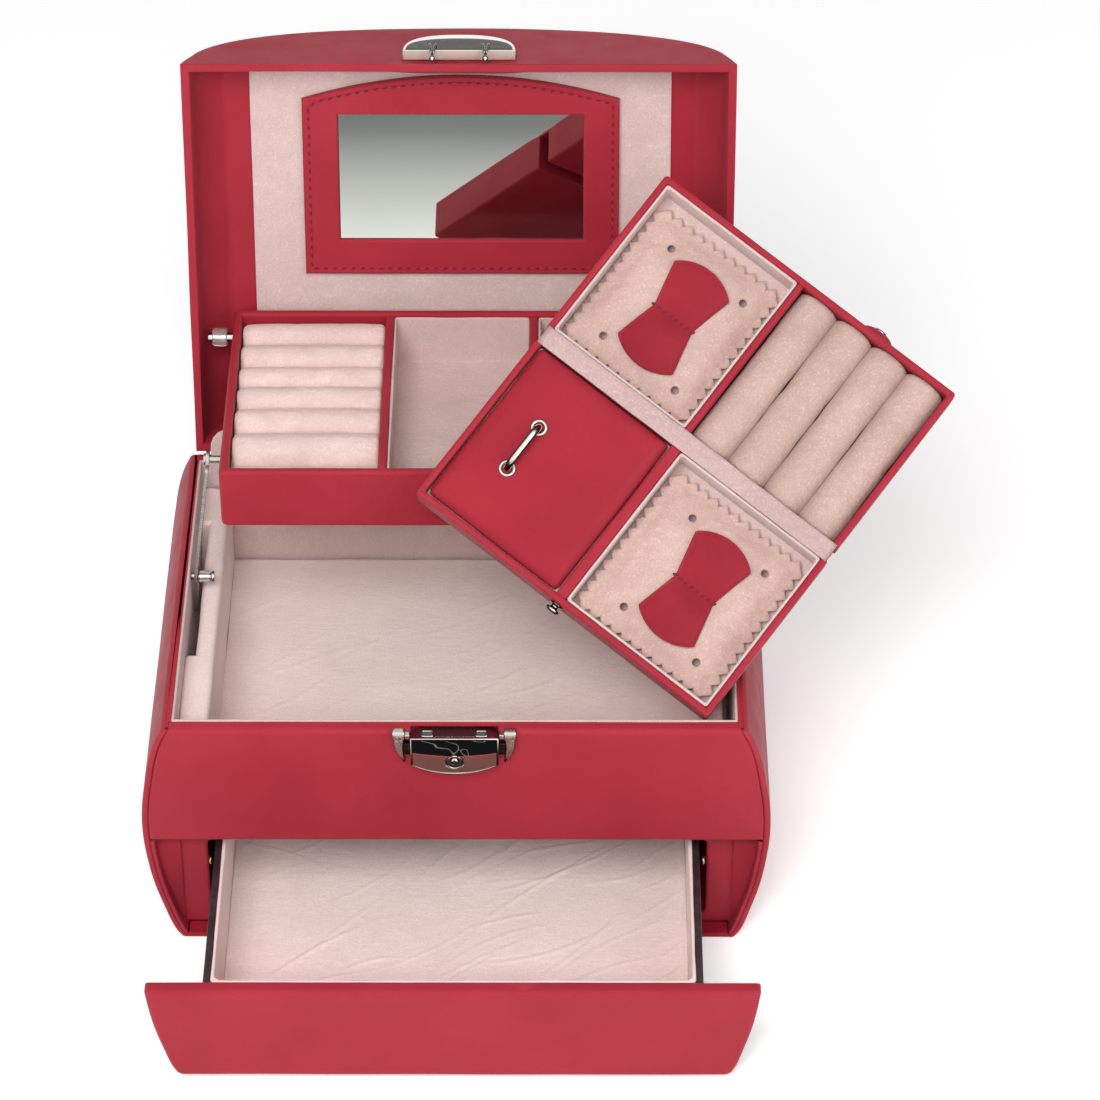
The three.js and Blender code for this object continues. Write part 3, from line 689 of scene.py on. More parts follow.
# ---------------------------------------------------------------- pieces
def piece(name, shape, body, look, place=WORLD, stands_for=(), ripple=None, smooth=True, blend=None):
    """Makes one object of the shape, finishes its surface and hangs it on its body."""
    bm = bmesh.new()
    verts = [bm.verts.new(place @ Vector(p)) for p in shape[0]]
    for face in shape[1]:
        try:
            bm.faces.new([verts[i] for i in face])
        except ValueError:
            continue
    bmesh.ops.remove_doubles(bm, verts=bm.verts, dist=0.004 * MM)
    bmesh.ops.dissolve_degenerate(bm, edges=bm.edges, dist=0.002 * MM)
    bmesh.ops.recalc_face_normals(bm, faces=bm.faces)
    if ripple:
        amount, scale, seed = ripple
        bm.normal_update()
        shift = Vector((seed * 1.7, seed * 0.9, seed * 2.3))
        for v in bm.verts:
            v.co += v.normal * (amount * noise.noise(v.co / scale + shift))
    mesh = bpy.data.meshes.new(name)
    bm.to_mesh(mesh)
    bm.free()
    for polygon in mesh.polygons:
        polygon.use_smooth = smooth
    mesh.materials.append(look)
    obj = bpy.data.objects.new(name, mesh)
    bpy.context.scene.collection.objects.link(obj)
    if blend:
        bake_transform(obj)
    else:
        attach(obj, body)
    even = obj.modifiers.new("even_normals", "WEIGHTED_NORMAL")
    even.keep_sharp = True
    if stands_for:
        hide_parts(*([stands_for] if isinstance(stands_for, str) else stands_for))
    return obj


def dress(node, look, bevel=0.25 * MM, segments=2):
    """Gives a CAD node its material, and rounds its edges without touching its mesh."""
    obj = frame["nodes"][node]
    obj.data.materials.clear()
    obj.data.materials.append(look)
    for polygon in obj.data.polygons:
        polygon.material_index = 0
        polygon.use_smooth = True
    weld = obj.modifiers.new("weld", "WELD")
    weld.merge_threshold = 0.005 * MM
    edges = obj.modifiers.new("round_edges", "BEVEL")
    edges.width = bevel
    edges.segments = segments
    edges.limit_method = "ANGLE"
    edges.angle_limit = math.radians(35)
    even = obj.modifiers.new("even_normals", "WEIGHTED_NORMAL")
    even.keep_sharp = True


def stuffed(shape, voxel, cap, held, pressure=4.0, slack=0.04):
    """Stuffs a closed soft form: remeshed, inflated as cloth at ten times its size, its held points fixed,
    no point moved further than cap, then smoothed once. held is a rule over a point of the shape."""
    scale = 10
    mesh = bpy.data.meshes.new("stuffing")
    mesh.from_pydata([tuple(Vector(p) * scale) for p in shape[0]], [], shape[1])
    soft = bpy.data.objects.new("stuffing", mesh)
    bpy.context.scene.collection.objects.link(soft)
    weld = soft.modifiers.new("weld", "WELD")
    weld.merge_threshold = 0.01 * MM * scale
    remesh = soft.modifiers.new("remesh", "REMESH")
    remesh.mode = "VOXEL"
    remesh.voxel_size = voxel * scale
    soft.data = bpy.data.meshes.new_from_object(soft.evaluated_get(bpy.context.evaluated_depsgraph_get()))
    soft.modifiers.clear()
    start = [v.co.copy() for v in soft.data.vertices]
    pins = soft.vertex_groups.new(name="held")
    pins.add([i for i, p in enumerate(start) if held(p / scale)], 1.0, "REPLACE")
    cloth = soft.modifiers.new("cloth", "CLOTH")
    cloth.settings.quality = 6
    cloth.settings.mass = 0.3
    cloth.settings.tension_stiffness = 12
    cloth.settings.compression_stiffness = 12
    cloth.settings.bending_stiffness = 0.15
    cloth.settings.shrink_min = -slack
    cloth.settings.use_pressure = True
    cloth.settings.uniform_pressure_force = pressure
    cloth.settings.vertex_group_mass = "held"
    cloth.settings.effector_weights.gravity = 0
    cloth.collision_settings.use_collision = False
    for step in range(1, 21):
        bpy.context.scene.frame_set(step)
    swollen = soft.evaluated_get(bpy.context.evaluated_depsgraph_get()).data
    for v, p, q in zip(soft.data.vertices, start, [w.co.copy() for w in swollen.vertices]):
        move = q - p
        v.co = p + move * min(1.0, cap * scale / max(move.length, 1e-9))
    soft.modifiers.clear()
    bpy.context.scene.frame_set(1)
    finer = soft.modifiers.new("finer", "SUBSURF")
    finer.levels = 1
    result = bpy.data.meshes.new_from_object(soft.evaluated_get(bpy.context.evaluated_depsgraph_get()))
    points = [v.co / scale for v in result.vertices]
    faces = [list(f.vertices) for f in result.polygons]
    bpy.data.objects.remove(soft)
    return points, faces


def crease_field(seed, count, x0, x1, y0, y1, heading, depth, length):
    """Long shallow creases in cloth that was laid by hand: returns a height rule over x and y."""
    rng = np.random.default_rng(seed)
    lines = []
    for _ in range(count):
        angle = math.radians(heading + rng.normal(0, 16))
        size = length * rng.uniform(0.3, 1.0)
        lines.append((
            rng.uniform(x0, x1), rng.uniform(y0, y1), math.cos(angle), math.sin(angle), size,
            rng.uniform(0.3, 1.0) * depth, rng.uniform(0.6, 1.0) * MM, rng.uniform(-0.5, 0.5) / size,
        ))

    def rule(x, y):
        total = 0.0
        for cx, cy, c, s, size, tall, width, bow in lines:
            dx, dy = x - cx, y - cy
            run, off = dx * c + dy * s, -dx * s + dy * c
            if abs(run) > size / 2:
                continue
            off -= bow * (run**2 - size**2 / 12)
            if abs(off) > 3.2 * width:
                continue
            fade = math.cos(math.pi * run / size) ** 0.6
            total += tall * fade * (math.exp(-(off / width) ** 2) - 0.45 * math.exp(-((off - 1.5 * width) / width) ** 2))
        return total

    return rule


def cloth_floor(x0, x1, y0, y1, z0, z1, rule, step=1.2 * MM):
    """A lining sheet on the floor of a compartment: creases from the rule, and a raised welt round its edge."""
    def height(u, v, du, dend):
        near = min(du, dend)
        welt = 0.4 * MM * math.exp(-((near - 1.6 * MM) / (0.55 * MM)) ** 2)
        return welt + min(1.0, near / (6 * MM)) * rule(u + (x0 + x1) / 2, v)
    half = (x1 - x0) / 2
    return slab(y0, y1, lambda v: half, z0, z1, 0.15 * MM, 0.15 * MM, step=step, height=height, centre=(x0 + x1) / 2)


# ---------------------------------------------------------------- body of the chest
SEAM = 0.05 * MM


def side_skin():
    panel = Box("side_panel_right")
    front, drawer = Box("front_panel"), Box("drawer_front")
    lip = panel.x1 - front.x1 - SEAM
    wall = front.y1 - front.y0 + SEAM
    inner = panel.x0 if panel.x0 > 0.118 else Box("rim_lining").x1 + SEAM
    pocket = panel.y0 + 7.2 * MM
    outer_round, inner_round, top_round, low_round = 1.3 * MM, 0.8 * MM, 1.6 * MM, 0.8 * MM
    heights = [panel.z0 + low_round * (1 - math.cos(a)) for a in turn(0, 90, 3)]
    heights += span(panel.z0 + low_round, panel.z1 - top_round, 3 * MM)[1:-1]
    heights += [panel.z1 - top_round * (1 - math.sin(a)) for a in turn(0, 90, 5)]
    loops = []
    for z in heights:
        inset = 0.0
        for edge, radius in ((z - panel.z0, low_round), (panel.z1 - z, top_round)):
            if edge < radius:
                inset = max(inset, radius - math.sqrt(max(radius**2 - (radius - edge) ** 2, 0)))
        w = barrel(z) - inset
        y0, y1 = panel.y0 + inset, panel.y1 - inset
        strip = barrel(z) - lip + inset * 0.3
        core_front = pocket if z < front.z0 + 0.6 * MM else panel.y0 + wall
        outer, small = outer_round, inner_round
        loop = [(w - outer + outer * math.cos(a), y0 + outer + outer * math.sin(a)) for a in turn(-90, 0, 4)]
        loop += [(w, y) for y in span(y0 + outer, y1 - outer, 6 * MM)[1:-1]]
        loop += [(w - outer + outer * math.cos(a), y1 - outer + outer * math.sin(a)) for a in turn(0, 90, 4)]
        loop += [(strip + small - small * math.sin(a), y1 - small + small * math.cos(a)) for a in turn(0, 90, 3)]
        loop += [(strip, y1 - wall), (inner, y1 - wall), (inner, core_front), (strip, core_front)]
        loop += [(strip + small - small * math.cos(a), y0 + small - small * math.sin(a)) for a in turn(0, 90, 3)]
        loops.append([Vector((x, y, z)) for x, y in loop])
    return loft(loops)


def rounded_end(half, v, v0, v1, low_corner, high_corner):
    """Pulls a half-width in where the outline's own corners are rounded."""
    for distance, corner in ((v - v0, low_corner), (v1 - v, high_corner)):
        if corner > 0 and distance < corner:
            half -= corner - math.sqrt(max(corner**2 - (corner - distance) ** 2, 0))
    return half


def build_body():
    skin = side_skin()
    piece("side_skin_right", skin, "chest", RED_LEATHER, stands_for="side_panel_right", ripple=(0.12 * MM, 0.035, 1))
    piece("side_skin_left", mirrored(skin), "chest", RED_LEATHER, stands_for="side_panel_left",
          ripple=(0.12 * MM, 0.035, 2))
    front = Box("front_panel")
    inset = Box("side_panel_right").x1 - front.x1
    shape = slab(front.z0, front.z1, lambda z: barrel(z) - inset, -front.y1, -front.y0, 1.0 * MM, 2.2 * MM)
    piece("front_skin", shape, "chest", RED_LEATHER, FRONT, "front_panel", ripple=(0.16 * MM, 0.045, 3))
    back = Box("back_panel")
    shape = slab(back.z0, back.z1, lambda z: barrel(z) - inset, back.y0, back.y1, 1.0 * MM, 1.6 * MM)
    piece("back_skin", shape, "chest", RED_LEATHER, BACK, "back_panel", ripple=(0.16 * MM, 0.045, 4))
    base = Box("base_panel")
    shape = round_box((base.x0, base.y0, base.z0), (base.x1, base.y1, base.z1), 1.1 * MM, step=12 * MM)
    piece("base_skin", shape, "chest", EDGE_LEATHER, stands_for="base_panel", ripple=(0.05 * MM, 0.03, 5))
    build_bay()
    # painted shade: the divider board is near-black so the opening behind the drawer reads as shade
    dress("divider_board", PAPER_AND_PAINTED_SHADE)


def build_bay():
    """The leather recess round the drawer opening: a jamb on each side, a sill and a head."""
    bay, front, liner = Box("drawer_bay_frame"), Box("front_panel"), Box("rim_lining")
    lip = Box("side_panel_right").x1 - front.x1
    jamb, pocket_round, opening_round = 4.6 * MM, 0.7 * MM, 4 * MM
    pocket_y, back_y = bay.y1 - 1.5 * MM, bay.y1
    open_x, open_low, open_high = 107 * MM, 6.4 * MM, 51.4 * MM
    loops = []
    for z in span(bay.z0, bay.z1, 1.4 * MM):
        w = barrel(z)
        distance = min(z - open_low, open_high - z)
        x = open_x
        if distance < opening_round:
            inside = max(distance, 0)
            x -= opening_round - math.sqrt(max(opening_round**2 - (opening_round - inside) ** 2, 0))
        small = 0.5 * MM
        loop = [(w - lip, front.y1)]
        loop += [(w - lip - small + small * math.cos(a), bay.y0 + small - small * math.sin(a)) for a in turn(0, 90, 4)]
        loop += [(w - jamb + pocket_round - pocket_round * math.sin(a), bay.y0 + pocket_round - pocket_round * math.cos(a))
                 for a in turn(0, 90, 5)]
        loop += [(w - jamb, pocket_y - 0.6 * MM), (w - jamb - 0.6 * MM, pocket_y), (x + 1.5 * MM, pocket_y)]
        loop += [(x + 1.5 * MM - 1.5 * MM * math.sin(a), pocket_y + 1.5 * MM - 1.5 * MM * math.cos(a))
                 for a in turn(0, 90, 4)][1:]
        loop += [(x, back_y), (liner.x1, back_y), (liner.x1, front.y1)]
        loops.append([Vector((px, py, z)) for px, py in loop])
    jamb_shape = loft(loops)
    piece("bay_jamb_right", jamb_shape, "chest", RED_LEATHER, stands_for="drawer_bay_frame",
          ripple=(0.08 * MM, 0.02, 6))
    piece("bay_jamb_left", mirrored(jamb_shape), "chest", RED_LEATHER, ripple=(0.08 * MM, 0.02, 7))
    sill_x = open_x - opening_round + 0.3 * MM
    for name, z0, z1 in (("bay_sill", bay.z0, open_low), ("bay_head", open_high, bay.z1)):
        shape = round_box((-sill_x, pocket_y, z0), (sill_x, back_y, z1), 0.9 * MM)
        piece(name, shape, "chest", RED_LEATHER, ripple=(0.05 * MM, 0.02, 8))


def build_linings():
    ring = Box("rim_lining")
    inner_x, inner_y = 117.5 * MM, 87.4 * MM
    edge = (ring.x1 - inner_x) / 2
    counts = (40, 30)
    loops = []
    for z in span(ring.z0, ring.z1 - edge, 12 * MM):
        loops.append(rect_loop(-ring.x1, ring.x1, -ring.y1, ring.y1, z, 0.6 * MM, counts=counts))
    for a in turn(20, 160, 6):
        out = inner_x + edge + edge * math.cos(a)
        deep = inner_y + (ring.y1 - inner_y) / 2 * (1 + math.cos(a))
        loops.append(rect_loop(-out, out, -deep, deep, ring.z1 - edge + edge * math.sin(a), 0.5 * MM, counts=counts))
    for z in span(ring.z1 - edge, ring.z0, 6 * MM):
        loops.append(rect_loop(-inner_x, inner_x, -inner_y, inner_y, z, 0.4 * MM, counts=counts))
    piece("rim_suede", loft(loops, ring=True), "chest", SUEDE, stands_for="rim_lining", ripple=(0.12 * MM, 0.012, 9))

    liner = Box("compartment_liner")
    floor_top, inner, slot_in, slot_low = 64.5 * MM, 105 * MM, 113.2 * MM, 70 * MM
    rule = crease_field(11, 50, -inner, inner, liner.y0, liner.y1, 34, 0.36 * MM, 80 * MM)
    sheet = cloth_floor(-inner, inner, liner.y0, liner.y1, liner.z0, floor_top, rule)
    piece("compartment_floor", sheet, "chest", PAINTED_LIGHT_SUEDE, stands_for="compartment_liner", ripple=(0.25 * MM, 0.03, 10))
    for side, slot_front in (("right", -74 * MM), ("left", -30 * MM)):
        slot_back = 60 * MM
        wall = round_box((inner, liner.y0, liner.z0), (slot_in, liner.y1, liner.z1), 2.6 * MM, step=5 * MM)
        pieces = [wall]
        for y0, y1, z1 in ((liner.y0, slot_front, liner.z1), (slot_back, liner.y1, liner.z1),
                           (slot_front - 2 * MM, slot_back + 2 * MM, slot_low)):
            pieces.append(round_box((slot_in - 2.8 * MM, y0, liner.z0), (liner.x1, y1, z1), 1.8 * MM, step=5 * MM))
        shape = merged(*pieces)
        shape = shape if side == "right" else mirrored(shape)
        piece("liner_wall_" + side, shape, "chest", PAINTED_LIGHT_SUEDE, ripple=(0.3 * MM, 0.016, 12))

    flap = Box("hinge_cover_flap")
    shape = slab(flap.z0, flap.z1, lambda z: rounded_end(flap.x1, z, flap.z0, flap.z1, 0, 12 * MM),
                 -flap.y1, -flap.y0, 0.45 * MM, 0.45 * MM, step=3 * MM)
    piece("hinge_flap", shape, "chest", SUEDE, FRONT, "hinge_cover_flap", ripple=(0.5 * MM, 0.02, 13))


def build_hinge_strip():
    """One leather strip down the back, drawn curved over the hinge to the open lid."""
    low, high = Box("hinge_strip_body"), Box("hinge_strip_lid", LID)
    thick = (low.y1 - low.y0)
    y = low.y0 + thick / 2
    bend = 2.4 * MM
    path = [Vector((0, y, z)) for z in span(low.z0, low.z1 - bend, 2 * MM)]
    reach = [LID @ Vector((0, high.y0 + thick / 2, t)) for t in span(high.z0 + bend, high.z1, 2 * MM)]
    path = catmull([path[-1], Vector((0, y + 0.5 * MM, low.z1 - 0.4 * MM)), reach[0]], 5)
    path = [Vector((0, y, z)) for z in span(low.z0, low.z1 - bend, 2 * MM)][:-1] + path + reach[1:]
    left, right = [], []
    for i, p in enumerate(path):
        ahead = (path[min(i + 1, len(path) - 1)] - path[max(i - 1, 0)]).normalized()
        across = ALONG_X.cross(ahead) * thick / 2
        left.append(((p + across).y, (p + across).z))
        right.append(((p - across).y, (p - across).z))
    shape = extruded(left + right[::-1], low.x0, low.x1, 8 * MM)
    start = (0, y, low.z1 - bend)
    obj = piece("hinge_leather", shape, None, RED_LEATHER, stands_for=("hinge_strip_body", "hinge_strip_lid"),
                blend=("chest", "lid", start, tuple(reach[0])))
    return obj


# ---------------------------------------------------------------- lock
BEVEL_DROP, BEVEL_SAG = 8.5 * MM, 1.9 * MM


def lock_face_painted_reflection():
    """The lock's face: its upper part a painted near-black reflection, fading to warm nickel below, with fine swirls.
    """
    n = Nodes("lock_face_painted_reflection")
    split = n.add("ShaderNodeSeparateXYZ")
    n.link(n.place, split.inputs["Vector"])
    height = n.add("ShaderNodeMapRange")
    square, level = n.add("ShaderNodeMath"), n.add("ShaderNodeMath")
    square.operation, level.operation = "MULTIPLY", "MULTIPLY_ADD"
    n.link(split.outputs["X"], square.inputs[0])
    n.link(split.outputs["X"], square.inputs[1])
    n.link(square.outputs[0], level.inputs[0])
    lock = Box("lock_body")
    level.inputs[1].default_value = -BEVEL_SAG / lock.x1**2
    n.link(split.outputs["Z"], level.inputs[2])
    n.link(level.outputs[0], height.inputs["Value"])
    edge = lock.z1 - BEVEL_DROP - BEVEL_SAG
    height.inputs["From Min"].default_value = edge - 0.1 * MM
    height.inputs["From Max"].default_value = edge + 0.1 * MM
    swirl = n.noise(60, 1, stretch=(1, 1, 2.2), distortion=0.6)
    streak = n.ramp(swirl, (0.535, (0, 0, 0)), (0.545, (0.24, 0.21, 0.17)), (0.555, (0, 0, 0)))
    # painted reflection: above the bevel line the face is near-black, with bright swirl streaks
    upper = n.mix(1.0, (0.006, 0.006, 0.007), streak, "ADD")
    n.link(n.mix(height.outputs["Result"], (0.60, 0.47, 0.43), upper), n.shader.inputs["Base Color"])
    n.link(n.spread(n.noise(700, 3), 0.05, 0.16), n.shader.inputs["Roughness"])
    n.set(Metallic=1.0)
    n.bumps((n.noise(500, 3), 0.04, 0.0001))
    return n.material


def build_lock():
    lock, key = Box("lock_body"), Box("lock_key_plug")
    back = -Box("front_panel").y0 + SEAM
    deep, wide = -lock.y0, lock.x1
    face_top, foot = lock.z1 - 0.95 * MM, lock.z0 + 1.2 * MM
    rise = 5.0 * MM
    radius = (wide**2 + rise**2) / (2 * rise)
    sweep = math.degrees(math.asin(wide / radius))
    sag = [(radius * math.cos(a), foot + radius + radius * math.sin(a)) for a in turn(270 - sweep, 270 + sweep, 28)]
    outline = sag + [(wide, face_top), (-wide, face_top)]
    rim = deep - 0.55 * MM
    piece("lock_border", plate(outline, [(0, back), (0, rim - 0.35 * MM), (0.12 * MM, rim - 0.1 * MM), (0.35 * MM, rim),
                                         (0.6 * MM, rim), (0.85 * MM, rim - 0.35 * MM)]), "chest", CHROME, FRONT, "lock_body")

    def half(z):
        if z >= foot + rise:
            return wide - 0.85 * MM
        return math.sqrt(max(radius**2 - (foot + radius - z) ** 2, 0)) - 0.7 * MM

    def bevel(x):
        return lock.z1 - BEVEL_DROP - BEVEL_SAG * (1 - (x / wide) ** 2)

    def relief(u, v, du, dend):
        line = bevel(u)
        above = max(0.0, v - line) * 0.09
        below = max(0.0, line - v) * 0.05
        dish = 1.2 * MM if math.hypot(u, v - key.centre.z) < 3.5 * MM else 0.0
        return -above - below - dish

    face = slab(foot + 0.9 * MM, face_top - 0.85 * MM, lambda z: max(half(z), 0.3 * MM), back, deep - 0.2 * MM,
                0.35 * MM, 0.35 * MM, step=0.55 * MM, height=relief)
    piece("lock_face", face, "chest", lock_face_painted_reflection(), FRONT)
    # painted highlight: a thin bright red bar along the bevel line
    path = []
    for x in span(-wide + 1.0 * MM, wide - 1.0 * MM, 0.8 * MM):
        swell = math.exp(-((x / (4.6 * MM)) ** 2))
        path.append(Vector((x, bevel(x), deep - 0.28 * MM + 0.3 * MM * swell)))
    piece("lock_bevel", tube(path, 0.24 * MM, 8), "chest", RED_BEVEL_HIGHLIGHT, FRONT)

    top, low = lock.z1 - 0.45 * MM, lock.z1 - 6 * MM
    bend, front = -94.2 * MM, lock.y0 + 0.9 * MM
    slope = (top - (face_top + 0.1 * MM)) / (bend - front)
    section = [(lock.y1, top - 0.6 * MM), (bend, top - 0.62 * MM), (bend, low), (front, low), (front, face_top + 0.1 * MM),
               (bend, top), (lock.y1 - 0.3 * MM, top), (lock.y1, top - 0.25 * MM)]
    section = [(y, z) for y, z in section][::-1]
    # painted reflection: the lock's chrome top is coloured dark red
    piece("lock_top", extruded(section, -wide, wide, 6 * MM), "chest", PAINTED_RED_REFLECTION)
    ribs = []
    for x in span(-9.2 * MM, 9.2 * MM, 0.66 * MM):
        reach = front + 0.9 * MM
        ribs.append(tube([(x, lock.y1 - 0.7 * MM, top), (x, bend, top), (x, reach, top - (bend - reach) * slope)], 0.17 * MM, 6))
    piece("lock_ribs", merged(*ribs), "chest", CHROME)
    frames, slot_shades = [], []
    tilt = Vector((0, 1, slope)).normalized()
    for x in (-11.3 * MM, 11.3 * MM):
        middle = Vector((x, -96.1 * MM, top - (bend + 96.1 * MM) * slope))
        place = placement(ALONG_X, tilt, ALONG_X.cross(tilt), middle)
        loop = rect_loop(-2.3 * MM, 2.3 * MM, -1.5 * MM, 1.5 * MM, 0.05 * MM, 0.7 * MM, step=1 * MM)
        ring = [[p + Vector((0, 0, 0.4 * MM * math.sin(a))) + Vector((p.x, p.y, 0)).normalized() * 0.4 * MM * math.cos(a)
                 for p in loop] for a in turn(0, 360, 8)[:-1]]
        frames.append(moved(loft(ring, ring=True), place))
        slot_shades.append(moved(round_box((-2.2 * MM, -1.4 * MM, -0.5 * MM), (2.2 * MM, 1.4 * MM, 0.12 * MM), 0.1 * MM, 1 * MM), place))
    piece("lock_slot_frames", merged(*frames), "chest", CHROME)
    # painted shade: dark grey fills in the two slots of the lock's top
    piece("lock_slots", merged(*slot_shades), "chest", SLOT_SHADE)

    centre, out = Vector((0, key.y1, key.centre.z)), Vector((0, -1, 0))
    length = key.y1 - key.y0
    # painted shade: a near-black dish in the recess round the key plug
    dark = lathe([(length - 2.4 * MM, 3.9 * MM), (length - 0.55 * MM, 3.9 * MM), (length - 0.5 * MM, 3.6 * MM),
                  (length - 0.9 * MM, 3.4 * MM), (length - 1.0 * MM, 0.3 * MM)], centre, out, 40)
    piece("lock_recess_painted_shade", dark, "chest", PAPER_AND_PAINTED_SHADE)
    ring = ring_lathe([(length - 2.0 * MM, 3.6 * MM), (length - 0.55 * MM, 3.6 * MM), (length - 0.2 * MM, 3.4 * MM),
                       (length - 0.15 * MM, 3.2 * MM), (length - 0.5 * MM, 3.0 * MM), (length - 2.0 * MM, 2.95 * MM)], centre, out, 40)
    piece("lock_ring", ring, "chest", CHROME)
    plug = lathe([(0, 2.0 * MM), (length - 1.2 * MM, 2.0 * MM), (length - 0.4 * MM, 1.7 * MM), (length - 0.1 * MM, 1.2 * MM),
                  (length - 0.02 * MM, 0.3 * MM)], centre, out, 40)
    piece("key_plug", plug, "lock_plug", CHROME, stands_for="lock_key_plug")
    # painted shade: a near-black disc and slot on the plug's face stand for the keyway
    hole = merged(
        lathe([(length - 1.4 * MM, 0.75 * MM), (length + 0.03 * MM, 0.7 * MM)], centre + UP * 0.5 * MM, out, 20),
        round_box((-0.35 * MM, key.y0 - 0.03 * MM, key.centre.z - 1.5 * MM), (0.35 * MM, key.y0 + 1.2 * MM, key.centre.z),
                  0.1 * MM, step=1 * MM),
    )
    piece("keyhole_painted_shade", hole, "lock_plug", PAPER_AND_PAINTED_SHADE)
    build_lever("right", 1)
    build_lever("left", -1)


def build_lever(side, sign):
    """A crescent finger lever with a knob top, on a flat shaft."""
    lever = Box("lock_lever_" + side)
    far = max(abs(lever.x0), abs(lever.x1))
    low, high = lever.z0, lever.z1 + 1.6 * MM
    inner, front, back = far - 5.4 * MM, -lever.y0 + 0.6 * MM, -lever.y1
    outer = catmull([(inner + 0.4 * MM, low + 0.1 * MM, 0), (far - 2.9 * MM, low + 3.0 * MM, 0), (far - 1.3 * MM, low + 6.2 * MM, 0),
                     (far - 0.5 * MM, low + 9.4 * MM, 0), (far - 0.3 * MM, high - 3.2 * MM, 0)], 5)
    edge = catmull([(inner + 0.2 * MM, high - 3.2 * MM, 0), (inner + 0.9 * MM, low + 8.5 * MM, 0),
                    (inner + 0.6 * MM, low + 4 * MM, 0), (inner, low + 0.3 * MM, 0)], 5)
    crescent = plate(outer + edge, [(0, back), (0, front - 1.1 * MM), (0.15 * MM, front - 0.7 * MM), (0.45 * MM, front - 0.4 * MM),
                                    (0.85 * MM, front - 0.3 * MM)])
    knob = round_box((inner, high - 4.2 * MM, back - 0.1 * MM), (far, high, front), 0.8 * MM, step=2 * MM)
    collar = round_box((inner - 2.0 * MM, high - 4.4 * MM, back), (inner + 0.4 * MM, high - 2.2 * MM, front - 1.2 * MM), 0.35 * MM,
                       step=2 * MM)
    piece("lever_skin_" + side, hand(merged(crescent, knob, collar), sign), "lever_" + side, LEVER_CHROME, FRONT,
          "lock_lever_" + side)
    # painted shade: the shaft in the gap beside the lever is near-black chrome
    shaft = round_box((inner - 3.2 * MM, low + 3.6 * MM, back), (inner + 1.0 * MM, low + 9.6 * MM, front - 1.6 * MM), 0.3 * MM,
                      step=2 * MM)
    piece("lever_shaft_" + side, hand(shaft, sign), "lever_" + side, PAINTED_DARK_CHROME, FRONT)


# ---------------------------------------------------------------- lid
def lid_shell_shape():
    """Drawn in the lid's own axes: y runs from the hinge as minus, z is the rise."""
    shell = Box("lid_shell", LID)
    half, rise, near, far = shell.x1, shell.z1, shell.y1, shell.y0
    wall, end_round, rim, full = 4 * MM, 7.5 * MM, 1.7 * MM, 2.45
    angles = turn(0, 180, 84)
    stations = [(far + end_round * (1 - math.cos(a)), end_round * (1 - math.sin(a))) for a in turn(0, 90, 8)]
    stations += [(y, 0.0) for y in span(far + end_round, near - 3 * MM, 5 * MM)[1:-1]]
    stations += [(near - 3 * MM * (1 - math.cos(a)), 3 * MM * (1 - math.sin(a))) for a in turn(90, 0, 4)]

    def arch(angle, inset):
        c, s = math.cos(angle), math.sin(angle)
        x = math.copysign(abs(c) ** (2 / full), c)
        z = abs(s) ** (2 / full)
        fade = min(1.0, z * 4)
        return x * (half - inset * 0.55 * fade), z * (rise - inset)

    rows = [[Vector((arch(a, inset)[0], y, arch(a, inset)[1])) for a in angles] for y, inset in stations]
    parts = [patch(rows)]
    for row in (rows[0], rows[-1]):
        parts.append(patch([[Vector((p.x, p.y, p.z * k / 12)) for p in row] for k in range(13)]))
    y_stops = [y for y, _ in stations]
    xs = [arch(a, 0)[0] for a in angles]
    base = [Vector((half, y, 0)) for y in y_stops][:-1] + [Vector((x, near, 0)) for x in xs][:-1]
    base += [Vector((-half, y, 0)) for y in reversed(y_stops)][:-1] + [Vector((x, far, 0)) for x in reversed(xs)][:-1]

    def inner_half(z):
        return (half - wall) * (1 - min(1, z / (rise - wall)) ** full) ** (1 / full)

    def ring(inset, z, narrow=None):
        side = half - inset if narrow is None else narrow
        return [Vector((p.x * side / half, min(max(p.y, far + inset), near - inset), z)) for p in base]

    loops = [ring(0, 0)]
    for a in turn(0, 180, 8)[1:]:
        loops.append(ring(rim * (1 - math.cos(a)), -0.12 * rim * math.sin(a)))
    depth = Box("lid_lining_panel", LID).z1
    for z in span(0, depth, 2.5 * MM)[1:]:
        loops.append(ring(wall, z, inner_half(z)))
    parts.append(loft(loops, closed_ends=False))
    parts.append((list(loops[-1]), [list(range(len(base)))]))
    return merged(*parts)


def dimple(shape, amount):
    """Pulls the leather in round the catch plate and puffs it up beside it."""
    plate_box = Box("catch_plate", LID)
    end = Box("lid_shell", LID).y0

    def rule(p):
        if p.y < end + 9 * MM and p.z > 0.5 * MM:
            across = max(abs(p.x) - plate_box.x1 * 0.8, 0) / (11 * MM)
            up = max(p.z - 17 * MM, 0) / (8 * MM)
            p.y += amount * math.exp(-across**2 - up**2)
            beside = ((abs(p.x) - plate_box.x1 - 12 * MM) / (11 * MM)) ** 2
            p.y -= 0.45 * amount * math.exp(-beside - ((p.z - 12 * MM) / (12 * MM)) ** 2)
        return p

    return warped(shape, rule)


